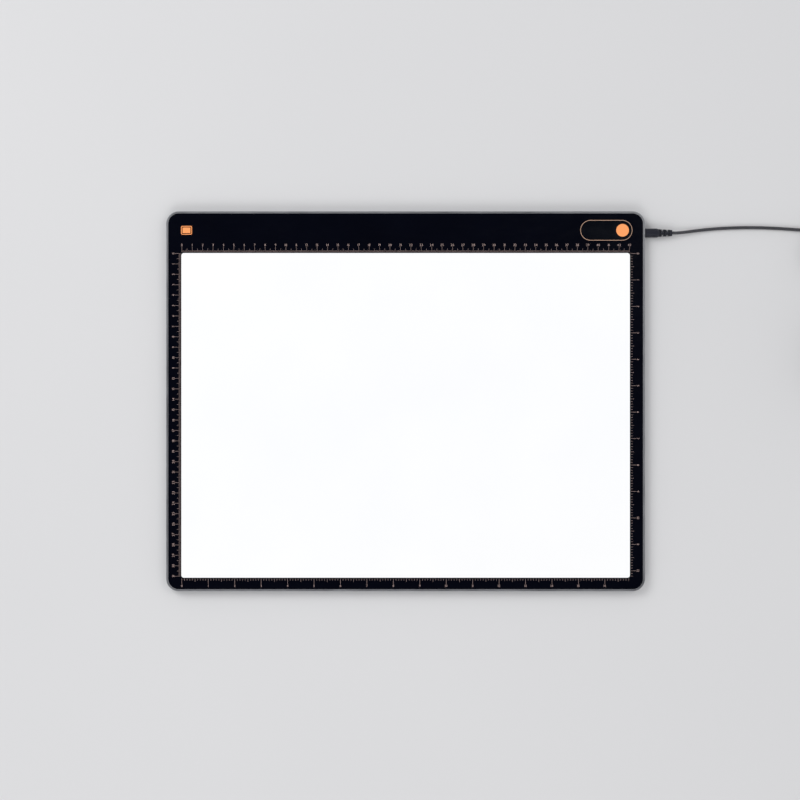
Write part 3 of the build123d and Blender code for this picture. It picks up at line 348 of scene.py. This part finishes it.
def arithmetic(tree, operation, first, second):
    """A sum, product or other step between a value and a value or number."""
    node = tree.nodes.new("ShaderNodeMath")
    node.operation = operation
    for socket, value in zip(node.inputs, (first, second)):
        if isinstance(value, (int, float)):
            socket.default_value = value
        else:
            tree.links.new(value, socket)
    return node.outputs[0]


def weighted(tree, *parts):
    """The sum of some values, each times its weight."""
    products = [arithmetic(tree, "MULTIPLY", value, weight) for value, weight in parts]
    total = products[0]
    for product in products[1:]:
        total = arithmetic(tree, "ADD", total, product)
    return total


def bumped(tree, shader, height, depth):
    """A bump of the given depth from a height value."""
    bump = tree.nodes.new("ShaderNodeBump")
    bump.inputs["Strength"].default_value = 1.0
    bump.inputs["Distance"].default_value = depth
    tree.links.new(height, bump.inputs["Height"])
    tree.links.new(bump.outputs["Normal"], shader.inputs["Normal"])


def varied(colour, share):
    """A colour made darker or lighter by a share."""
    return tuple(min(1.0, c * (1 + share)) for c in colour)


def grained(name, colour, roughness, grain, depth, spread=0.12, patch=12 * MM, metallic=0.0, specular=0.5):
    """Moulded plastic, rubber, board or film: a fine grain, a cloudy shade and an uneven gloss."""
    material, tree, shader = new_material(name)
    where = position(tree)
    fine = noise(tree, where, grain, detail=3.0, roughness=0.6)
    cloudy = noise(tree, where, patch, detail=4.0, roughness=0.55)
    mottle = remap(tree, weighted(tree, (fine, GRAIN_SHARE), (cloudy, PATCH_SHARE)), NOISE_SPAN)
    shade = shades(tree, mottle, varied(colour, -spread), varied(colour, spread))
    dullest = min(1, roughness * (1 + GLOSS_SPREAD))
    gloss = remap(tree, cloudy, NOISE_SPAN, (roughness * (1 - GLOSS_SPREAD), dullest))
    tree.links.new(shade, shader.inputs["Base Color"])
    tree.links.new(gloss, shader.inputs["Roughness"])
    shader.inputs["Metallic"].default_value = metallic
    shader.inputs["Specular IOR Level"].default_value = specular
    bumped(tree, shader, fine, depth)
    return material


def guide_dots(tree, where, randomness):
    """The distance to the nearest dot of the light guide's grid, in grid steps."""
    dots = tree.nodes.new("ShaderNodeTexVoronoi")
    dots.inputs["Scale"].default_value = 1 / GUIDE_DOT_GRID
    dots.inputs["Randomness"].default_value = randomness
    tree.links.new(where, dots.inputs["Vector"])
    return dots.outputs["Distance"]


def film_surface(tree, shader, where):
    """The border film's gloss and faint ripple."""
    shader.inputs["Specular IOR Level"].default_value = FILM_SPECULAR
    bumped(tree, shader, noise(tree, where, FILM_RIPPLE), FILM_RIPPLE_DEPTH)


# ---- materials ---------------------------------------------------------------------------------------


def lit_panel_material():
    """Opal acrylic lit from below: a shade dimmer far from the LED rows, with the guide's faint dots."""
    material, tree, shader = new_material("lit_opal_panel")
    where = position(tree)
    split = tree.nodes.new("ShaderNodeSeparateXYZ")
    tree.links.new(where, split.inputs[0])
    middle = (WINDOW_FRONT + WINDOW_REAR) / 2
    from_middle = arithmetic(tree, "ABSOLUTE", arithmetic(tree, "SUBTRACT", split.outputs["Y"], middle), 0)
    towards_rows = remap(tree, from_middle, (0.0, (WINDOW_REAR - WINDOW_FRONT) / 2))
    cloudy = noise(tree, where, 90 * MM, detail=3.0)
    dotted = remap(tree, guide_dots(tree, where, randomness=0.15), (0.0, 0.6), (1.0, 0.0))
    level = weighted(tree, (towards_rows, 0.5), (cloudy, 0.3), (dotted, 0.2))
    glow = shades(tree, level, (0.963, 0.977, 1.0), (1.0, 1.0, 1.0))
    base = shades(tree, cloudy, (0.28, 0.285, 0.29), (0.32, 0.32, 0.32))
    tree.links.new(glow, shader.inputs["Emission Color"])
    tree.links.new(base, shader.inputs["Base Color"])
    shader.inputs["Emission Strength"].default_value = PANEL_GLOW
    shader.inputs["Roughness"].default_value = 0.32
    bumped(tree, shader, noise(tree, where, 0.25 * MM), 0.004 * MM)
    return material


def film_material():
    """Glossy black film with a blue cast, a faint ripple and rubbed patches."""
    material, tree, shader = new_material("black_border_film")
    where = position(tree)
    cloudy = noise(tree, where, 35 * MM, detail=4.0)
    rubs = noise(tree, stretched(tree, where, (1.0, 2.5, 1.0)), 14 * MM, detail=5.0, roughness=0.7)
    shade = shades(tree, cloudy, (0.0006, 0.0008, 0.0028), (0.0014, 0.002, 0.0055))
    tree.links.new(shade, shader.inputs["Base Color"])
    tree.links.new(remap(tree, rubs, (0.4, 0.75), (0.1, 0.16)), shader.inputs["Roughness"])
    film_surface(tree, shader, where)
    return material


def ink_material(name, dark, light, roughness, grain=0.3 * MM):
    """Slightly grainy printing ink."""
    material, tree, shader = new_material(name)
    grainy = noise(tree, position(tree), grain, detail=3.0, roughness=0.65)
    shade = shades(tree, remap(tree, grainy, NOISE_SPAN), dark, light)
    tree.links.new(shade, shader.inputs["Base Color"])
    shader.inputs["Roughness"].default_value = roughness
    bumped(tree, shader, grainy, INK_GRAIN_DEPTH)
    return material


def tint_material():
    """The touch area's slightly lighter film, as smooth as the border round it."""
    material, tree, shader = new_material("touch_area_tint")
    where = position(tree)
    cloudy = noise(tree, where, 12 * MM, detail=4.0)
    shade = shades(tree, cloudy, (0.0012, 0.0018, 0.0036), (0.0022, 0.003, 0.0058))
    tree.links.new(shade, shader.inputs["Base Color"])
    tree.links.new(remap(tree, cloudy, NOISE_SPAN, (0.1, 0.18)), shader.inputs["Roughness"])
    film_surface(tree, shader, where)
    return material


def anodised_material():
    """Satin anodised aluminium with a blasted grain and faint handling marks."""
    material, tree, shader = new_material("anodised_frame")
    where = position(tree)
    fine = noise(tree, where, 0.22 * MM, detail=3.0, roughness=0.7)
    cloudy = noise(tree, where, 28 * MM, detail=4.0)
    streaks = noise(tree, stretched(tree, where, (1.0, 1.0, 30.0)), 18 * MM, detail=5.0, roughness=0.65)
    mottle = remap(tree, weighted(tree, (fine, 0.4), (streaks, 0.6)), (0.35, 0.65))
    shade = shades(tree, mottle, (0.25, 0.255, 0.275), (0.34, 0.345, 0.365))
    tree.links.new(shade, shader.inputs["Base Color"])
    tree.links.new(remap(tree, cloudy, NOISE_SPAN, (0.32, 0.44)), shader.inputs["Roughness"])
    shader.inputs["Metallic"].default_value = 1.0
    bumped(tree, shader, fine, 0.006 * MM)
    return material


def plated_material(name, colour, roughness):
    """Plated metal with fine scratches along it."""
    material, tree, shader = new_material(name)
    where = position(tree)
    scratches = noise(tree, stretched(tree, where, (1.0, 1.0, 0.12)), 0.25 * MM, detail=4.0, roughness=0.7)
    cloudy = noise(tree, where, 5 * MM, detail=3.0)
    gloss = remap(tree, scratches, (0.3, 0.75), (roughness * 0.7, roughness * 1.6))
    shade = shades(tree, cloudy, varied(colour, -0.12), varied(colour, 0.05))
    tree.links.new(shade, shader.inputs["Base Color"])
    tree.links.new(gloss, shader.inputs["Roughness"])
    shader.inputs["Metallic"].default_value = 1.0
    bumped(tree, shader, scratches, 0.002 * MM)
    return material


def guide_material():
    """Clear acrylic with a grid of faint dots on it."""
    material, tree, shader = new_material("clear_guide")
    where = position(tree)
    dotted = remap(tree, guide_dots(tree, where, randomness=0.1), (0.15, 0.3), (1.0, 0.0))
    shade = shades(tree, dotted, (0.8, 0.93, 0.92), (0.97, 0.98, 0.98))
    tree.links.new(shade, shader.inputs["Base Color"])
    tree.links.new(remap(tree, dotted, (0.0, 1.0), (0.04, 0.5)), shader.inputs["Roughness"])
    shader.inputs["Transmission Weight"].default_value = 0.85
    shader.inputs["IOR"].default_value = ACRYLIC_IOR
    return material


def woven_material():
    """A woven hook-and-loop strap."""
    material, tree, shader = new_material("woven_strap")
    where = position(tree)
    weave = tree.nodes.new("ShaderNodeTexWave")
    weave.inputs["Scale"].default_value = 1 / (2.2 * MM)
    weave.inputs["Distortion"].default_value = 1.5
    weave.inputs["Detail"].default_value = 2.0
    tree.links.new(stretched(tree, where, (1.0, 1.0, 1.6)), weave.inputs["Vector"])
    fluff = noise(tree, where, 0.4 * MM, detail=4.0, roughness=0.7)
    height = arithmetic(tree, "ADD", weave.outputs["Fac"], fluff)
    # The strap is darker where its weave and fluff are low: painted shade in the hollows between the
    # threads.
    shade = shades(tree, remap(tree, height, (0.4, 1.5)), (0.012, 0.012, 0.014), (0.05, 0.05, 0.055))
    tree.links.new(shade, shader.inputs["Base Color"])
    shader.inputs["Roughness"].default_value = 0.9
    shader.inputs["Sheen Weight"].default_value = 0.5
    shader.inputs["Sheen Roughness"].default_value = 0.4
    bumped(tree, shader, height, 0.12 * MM)
    return material


def jacket_material():
    """The cord's soft jacket, with a fine grain and some dust."""
    material, tree, shader = new_material("cord_jacket")
    where = position(tree)
    dust = noise(tree, where, 4 * MM, detail=5.0, roughness=0.7)
    fine = noise(tree, where, 0.3 * MM, detail=3.0, roughness=0.6)
    shade = shades(tree, remap(tree, dust, (0.35, 0.7)), (0.013, 0.0135, 0.018), (0.032, 0.033, 0.042))
    tree.links.new(shade, shader.inputs["Base Color"])
    tree.links.new(remap(tree, dust, NOISE_SPAN, (0.34, 0.52)), shader.inputs["Roughness"])
    shader.inputs["Coat Weight"].default_value = 0.15
    shader.inputs["Coat Roughness"].default_value = 0.3
    bumped(tree, shader, fine, 0.015 * MM)
    return material


def floor_material():
    """A plain pale table top."""
    material, tree, shader = new_material("floor")
    where = position(tree)
    cloudy = noise(tree, where, 600 * MM, detail=3.0)
    shade = shades(tree, cloudy, (0.61, 0.612, 0.62), (0.65, 0.65, 0.655))
    tree.links.new(shade, shader.inputs["Base Color"])
    shader.inputs["Roughness"].default_value = 0.75
    bumped(tree, shader, noise(tree, where, 1.2 * MM, detail=3.0), 0.02 * MM)
    return material


def dress(material, *names):
    """Gives some CAD nodes a material."""
    for name in names:
        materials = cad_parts[name].data.materials
        materials.clear()
        materials.append(material)


def dress_casing():
    """Gives the casing's nodes their materials."""
    dress(anodised_material(), "frame")
    dress(lit_panel_material(), "cover_panel")
    dress(film_material(), "border_overlay")
    tape = grained(
        "black_tape", colour=(0.025, 0.025, 0.026), roughness=0.7, grain=0.3 * MM, depth=0.01 * MM,
        spread=0.15,
    )
    dress(tape, "panel_tape")
    back = grained(
        "back_cover_plastic", colour=(0.042, 0.043, 0.047), roughness=0.48, grain=0.7 * MM,
        depth=0.14 * MM, spread=0.08, patch=14 * MM,
    )
    dress(back, "back_cover")
    screws = grained(
        "black_screws", colour=(0.16, 0.16, 0.17), roughness=0.36, grain=0.15 * MM, depth=0.006 * MM,
        spread=0.25, patch=1 * MM, metallic=0.9,
    )
    dress(screws, "back_screws")
    black_rubber = grained(
        "foot_rubber", colour=(0.012, 0.012, 0.0125), roughness=0.85, grain=0.4 * MM, depth=0.03 * MM,
        spread=0.2, patch=4 * MM, specular=0.3,
    )
    dress(black_rubber, *[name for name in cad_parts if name.startswith("foot_")])


def dress_light_engine():
    """Gives the guide, its films and the LED rows their materials."""
    dress(guide_material(), "light_guide")
    film = grained(
        "white_film", colour=(0.86, 0.86, 0.86), roughness=0.42, grain=0.3 * MM, depth=0.003 * MM,
        spread=0.03, patch=40 * MM,
    )
    dress(film, "reflector_sheet", "prism_film", "diffuser_sheet")
    white = grained(
        "white_moulding", colour=(0.82, 0.82, 0.8), roughness=0.55, grain=0.4 * MM, depth=0.01 * MM,
        spread=0.04,
    )
    dress(white, "light_frame")
    foam = grained(
        "black_foam", colour=(0.03, 0.03, 0.032), roughness=0.95, grain=0.5 * MM, depth=0.08 * MM,
        spread=0.3, patch=3 * MM,
    )
    dress(foam, "foam_gasket")
    strip = grained(
        "white_strip_board", colour=(0.8, 0.81, 0.8), roughness=0.4, grain=0.5 * MM, depth=0.004 * MM,
        spread=0.04, patch=6 * MM,
    )
    dress(strip, "front_led_strip", "rear_led_strip")
    led = grained(
        "led_package", colour=(0.9, 0.76, 0.22), roughness=0.3, grain=0.2 * MM, depth=0.004 * MM,
        spread=0.12, patch=1.5 * MM,
    )
    dress(led, "front_leds", "rear_leds")
    wire = grained(
        "wire_jacket", colour=(0.42, 0.02, 0.015), roughness=0.4, grain=0.3 * MM, depth=0.006 * MM,
        spread=0.12, patch=6 * MM,
    )
    dress(wire, "front_led_leads", "rear_led_leads")


def dress_electronics():
    """Gives the boards, their parts and the contacts their materials."""
    dress(plated_material("bright_screws", (0.6, 0.6, 0.61), roughness=0.3), "board_screws")
    dress(plated_material("copper_film", (0.8, 0.42, 0.24), roughness=0.35), "touch_film")
    brass = plated_material("contact_brass", (0.78, 0.6, 0.3), roughness=0.25)
    dress(brass, "touch_spring", "socket_pin", "socket_leaf", "plug_contact")
    green = grained(
        "green_board", colour=(0.012, 0.1, 0.04), roughness=0.35, grain=0.8 * MM, depth=0.01 * MM,
        spread=0.3, patch=5 * MM,
    )
    dress(green, "control_board", "adaptor_board")
    chip = grained(
        "chip_package", colour=(0.022, 0.022, 0.024), roughness=0.6, grain=0.15 * MM, depth=0.008 * MM,
        spread=0.15, patch=2 * MM,
    )
    dress(chip, "power_chip", "touch_chip")
    ferrite = grained(
        "ferrite", colour=(0.07, 0.07, 0.075), roughness=0.65, grain=0.3 * MM, depth=0.02 * MM,
        spread=0.2, patch=2 * MM,
    )
    dress(ferrite, "inductor")
    ceramic = grained(
        "ceramic", colour=(0.45, 0.33, 0.22), roughness=0.5, grain=0.2 * MM, depth=0.006 * MM,
        spread=0.12, patch=1 * MM,
    )
    dress(ceramic, "small_capacitors")
    nylon = grained(
        "natural_nylon", colour=(0.78, 0.76, 0.68), roughness=0.45, grain=0.3 * MM, depth=0.006 * MM,
        spread=0.05, patch=2 * MM,
    )
    dress(nylon, "strip_connectors")
    socket = grained(
        "socket_plastic", colour=(0.02, 0.02, 0.022), roughness=0.45, grain=0.3 * MM, depth=0.01 * MM,
        spread=0.15, patch=3 * MM,
    )
    dress(socket, "power_socket", "plug_insulator", "pin_sleeves")


def dress_lead():
    """Gives the plug, the tie and the adaptor their materials."""
    dress(woven_material(), "cord_tie")
    dress(plated_material("nickel_plate", (0.74, 0.72, 0.68), roughness=0.2), "plug_sleeve", "mains_pins")
    moulding = grained(
        "plug_moulding", colour=(0.006, 0.0072, 0.015), roughness=0.3, grain=0.3 * MM, depth=0.02 * MM,
        spread=0.2, patch=3 * MM, specular=0.35,
    )
    dress(moulding, "plug_moulding", "adaptor_strain_relief")
    adaptor = grained(
        "adaptor_plastic", colour=(0.026, 0.026, 0.029), roughness=0.42, grain=0.55 * MM,
        depth=0.12 * MM, spread=0.1, patch=9 * MM,
    )
    dress(adaptor, "adaptor_back_shell", "adaptor_front_shell")
    wrap = grained(
        "transformer_wrap", colour=(0.78, 0.55, 0.06), roughness=0.35, grain=0.6 * MM, depth=0.01 * MM,
        spread=0.12, patch=3 * MM,
    )
    dress(wrap, "adaptor_transformer")
    sleeve = grained(
        "capacitor_sleeve", colour=(0.02, 0.03, 0.1), roughness=0.3, grain=0.5 * MM, depth=0.006 * MM,
        spread=0.15, patch=3 * MM,
    )
    dress(sleeve, "adaptor_capacitors")


# ---- print -------------------------------------------------------------------------------------------


def add_piece(name, form, material, body):
    """A mesh object from a bmesh, riding on a body."""
    mesh = bpy.data.meshes.new(name)
    form.to_mesh(mesh)
    form.free()
    mesh.materials.append(material)
    piece = bpy.data.objects.new(name, mesh)
    bpy.context.scene.collection.objects.link(piece)
    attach(piece, body)


def add_prism(form, outline, thickness=INK_THICKNESS):
    """A flat prism of ink on the film, from its outline seen from above, anticlockwise."""
    low = [form.verts.new((p.x, p.y, FILM_TOP)) for p in outline]
    high = [form.verts.new((p.x, p.y, FILM_TOP + thickness)) for p in outline]
    form.faces.new(high)
    form.faces.new(list(reversed(low)))
    for i in range(len(outline)):
        j = (i + 1) % len(outline)
        form.faces.new((low[i], low[j], high[j], high[i]))


def add_bar(form, start, along, across, length, width):
    """A straight bar of ink, from the middle of its near end."""
    side = across * width / 2
    corners = [start - side, start + along * length - side, start + along * length + side, start + side]
    if along.cross(across) < 0:
        corners.reverse()
    add_prism(form, corners)


def mend_flat_faces(form):
    """Makes triangles of the faces, and turns the longest edge of each one that has no area."""
    bmesh.ops.triangulate(form, faces=form.faces)
    for face in [f for f in form.faces if f.calc_area() < DIGIT_EMPTY_AREA]:
        longest = max(face.edges, key=lambda edge: edge.calc_length())
        bmesh.ops.rotate_edges(form, edges=[longest])


def digit_form(digit):
    """A digit of size 1 as a clean bmesh of triangles."""
    text = bpy.data.curves.new("digit", "FONT")
    text.body = digit
    text.size = 1.0
    text.extrude = DIGIT_HALF_DEPTH
    text.resolution_u = DIGIT_CURVE_STEPS
    holder = bpy.data.objects.new("digit", text)
    bpy.context.scene.collection.objects.link(holder)
    bpy.context.view_layer.update()
    mesh = bpy.data.meshes.new_from_object(holder)
    form = bmesh.new()
    form.from_mesh(mesh)
    bpy.data.meshes.remove(mesh)
    bpy.data.objects.remove(holder)
    bpy.data.curves.remove(text)
    bmesh.ops.remove_doubles(form, verts=form.verts, dist=DIGIT_MERGE)
    bmesh.ops.dissolve_degenerate(form, edges=form.edges, dist=DIGIT_MERGE)
    mend_flat_faces(form)
    form.verts.index_update()
    return form


def digit_meshes():
    """Each digit's points, faces and width, at its printed size, from its left and from its middle line."""
    digits = {}
    for digit in "0123456789":
        form = digit_form(digit)
        low_x, high_x = min(v.co.x for v in form.verts), max(v.co.x for v in form.verts)
        low_y, high_y = min(v.co.y for v in form.verts), max(v.co.y for v in form.verts)
        scale = DIGIT_HEIGHT / (high_y - low_y)
        points = []
        for vertex in form.verts:
            x, y, z = vertex.co
            points.append(((x - low_x) * scale, (y - low_y) * scale - DIGIT_HEIGHT / 2, z))
        faces = [[v.index for v in f.verts] for f in form.faces]
        digits[digit] = (points, faces, (high_x - low_x) * scale)
        form.free()
    return digits


def add_number(form, digits, number, middle, along):
    """A number in ink, centred on a point and reading in a direction."""
    shapes = [digits[digit] for digit in str(number)]
    width = sum(shape[2] for shape in shapes) + DIGIT_SPACING * (len(shapes) - 1)
    up = Vector((-along.y, along.x))
    start = -width / 2
    for points, faces, digit_width in shapes:
        placed = []
        for x, y, z in points:
            flat = middle + along * (start + x) + up * y
            height = FILM_TOP + INK_THICKNESS * (z + DIGIT_HALF_DEPTH)
            placed.append(form.verts.new((flat.x, flat.y, height)))
        for face in faces:
            form.faces.new([placed[i] for i in face])
        start += digit_width + DIGIT_SPACING


def make_scale(name, material, digits, origin, along, outward, reading, ruler, last):
    """A printed scale along one edge of the window, numbered at each unit."""
    form = bmesh.new()
    for i in range(int(round(last * TICKS_IN_UNIT)) + 1):
        size = "small"
        if i % TICKS_IN_UNIT == 0:
            size = "large"
        elif i % (TICKS_IN_UNIT // 2) == 0:
            size = "middle"
        place = origin + along * (i * ruler["unit"] / TICKS_IN_UNIT)
        add_bar(form, place + outward * TICK_GAP, outward, along, ruler[size] - TICK_GAP, ruler["line"])
        if size == "large":
            add_number(form, digits, i // TICKS_IN_UNIT, place + outward * DIGIT_FROM_WINDOW, reading)
    add_piece(name, form, material, "light_box")


def make_scales(material):
    """The two centimetre scales and the two inch scales."""
    digits = digit_meshes()
    right, left, up, down = Vector((1, 0)), Vector((-1, 0)), Vector((0, 1)), Vector((0, -1))
    rear = Vector((WINDOW_LEFT + SCALE_ZERO, WINDOW_REAR))
    front = Vector((WINDOW_LEFT + SCALE_ZERO, WINDOW_FRONT))
    near = Vector((WINDOW_LEFT, WINDOW_REAR - SCALE_ZERO))
    far = Vector((WINDOW_RIGHT, WINDOW_REAR - SCALE_ZERO))
    scales = (  # name, origin, along, outward, reading, ruler and last unit
        ("scale_cm_rear", rear, right, up, right, CENTIMETRES, REAR_CENTIMETRES),
        ("scale_cm_left", near, down, left, up, CENTIMETRES, LEFT_CENTIMETRES),
        ("scale_inch_front", front, right, down, right, INCHES, FRONT_INCHES),
        ("scale_inch_right", far, down, right, down, INCHES, RIGHT_INCHES),
    )
    for name, *layout in scales:
        make_scale(name, material, digits, *layout)


def stadium(centre, size):
    """The points of a slot shape, anticlockwise."""
    radius = size.y / 2
    reach = size.x / 2 - radius
    points = []
    for side, start in ((1, -math.pi / 2), (-1, math.pi / 2)):
        for i in range(SLOT_END_STEPS + 1):
            angle = start + math.pi * i / SLOT_END_STEPS
            x = side * reach + radius * math.cos(angle)
            points.append(centre + Vector((x, radius * math.sin(angle))))
    return points


def rounded_box(centre, size, radius):
    """The points of a rectangle with rounded corners, anticlockwise."""
    reach = size / 2 - Vector((radius, radius))
    points = []
    for corner, (side_x, side_y) in enumerate(((1, 1), (-1, 1), (-1, -1), (1, -1))):
        middle = centre + Vector((side_x * reach.x, side_y * reach.y))
        for i in range(CORNER_STEPS + 1):
            angle = math.pi / 2 * (corner + i / CORNER_STEPS)
            points.append(middle + radius * Vector((math.cos(angle), math.sin(angle))))
    return points


def add_band(form, outer, inner):
    """A closed line of ink between two outlines with the same number of points."""
    rings = [
        [form.verts.new((p.x, p.y, z)) for p in ring]
        for ring, z in (
            (outer, FILM_TOP),
            (outer, FILM_TOP + INK_THICKNESS),
            (inner, FILM_TOP + INK_THICKNESS),
            (inner, FILM_TOP),
        )
    ]
    count = len(outer)
    for ring, following in zip(rings, rings[1:] + rings[:1]):
        for i in range(count):
            j = (i + 1) % count
            form.faces.new((ring[i], ring[j], following[j], following[i]))


def make_touch_outline(material):
    """The printed outline of the touch key."""
    form = bmesh.new()
    inside = TOUCH_SIZE - 2 * Vector((TOUCH_LINE, TOUCH_LINE))
    add_band(form, stadium(TOUCH_CENTRE, TOUCH_SIZE), stadium(TOUCH_CENTRE, inside))
    add_piece("touch_outline", form, material, "light_box")


def make_touch_tint(material):
    """The slightly lighter film inside the touch key's outline."""
    form = bmesh.new()
    inside = TOUCH_SIZE - 2 * Vector((TOUCH_LINE, TOUCH_LINE))
    add_prism(form, stadium(TOUCH_CENTRE, inside), TOUCH_TINT_THICKNESS)
    add_piece("touch_tint", form, material, "light_box")


def make_pictogram(material):
    """A plain pictogram of a lit panel in its border, at the border's far left."""
    form = bmesh.new()
    line = Vector((PICTOGRAM_LINE, PICTOGRAM_LINE))
    gap = Vector((PICTOGRAM_GAP, PICTOGRAM_GAP))
    inside = PICTOGRAM_SIZE - 2 * line
    outer = rounded_box(PICTOGRAM_CENTRE, PICTOGRAM_SIZE, PICTOGRAM_RADIUS)
    inner = rounded_box(PICTOGRAM_CENTRE, inside, PICTOGRAM_RADIUS - PICTOGRAM_LINE)
    add_band(form, outer, inner)
    add_prism(form, rounded_box(PICTOGRAM_CENTRE, inside - 2 * gap, PICTOGRAM_PANEL_RADIUS))
    add_piece("panel_pictogram", form, material, "light_box")


def make_touch_dot(material):
    """The printed dot of the touch key."""
    form = bmesh.new()
    centre = Vector((DOT_X, TOUCH_CENTRE.y))
    angles = [2 * math.pi * i / DOT_STEPS for i in range(DOT_STEPS)]
    add_prism(form, [centre + DOT_RADIUS * Vector((math.cos(a), math.sin(a))) for a in angles])
    add_piece("touch_dot", form, material, "light_box")


# ---- making ------------------------------------------------------------------------------------------
place_camera()
make_cord(jacket_material())
make_world()
make_floor(floor_material())
dress_casing()
dress_light_engine()
dress_electronics()
dress_lead()

# The copper ink is duller where it is a fine line, and thinner and greyer in the scales.
scale_ink = ink_material("scale_ink", (0.33, 0.24, 0.22), (0.41, 0.3, 0.28), 0.45)
copper_ink = ink_material("copper_ink", (0.9, 0.29, 0.08), (1.0, 0.38, 0.13), 0.42, grain=0.35 * MM)
outline_ink = ink_material("outline_ink", (0.45, 0.27, 0.18), (0.58, 0.37, 0.26), 0.45)
make_scales(scale_ink)
make_touch_tint(tint_material())
make_touch_outline(outline_ink)
make_touch_dot(copper_ink)
make_pictogram(copper_ink)
for light in LIGHTS:
    soft_light(*light)

bpy.context.scene.view_settings.view_transform = "Standard"
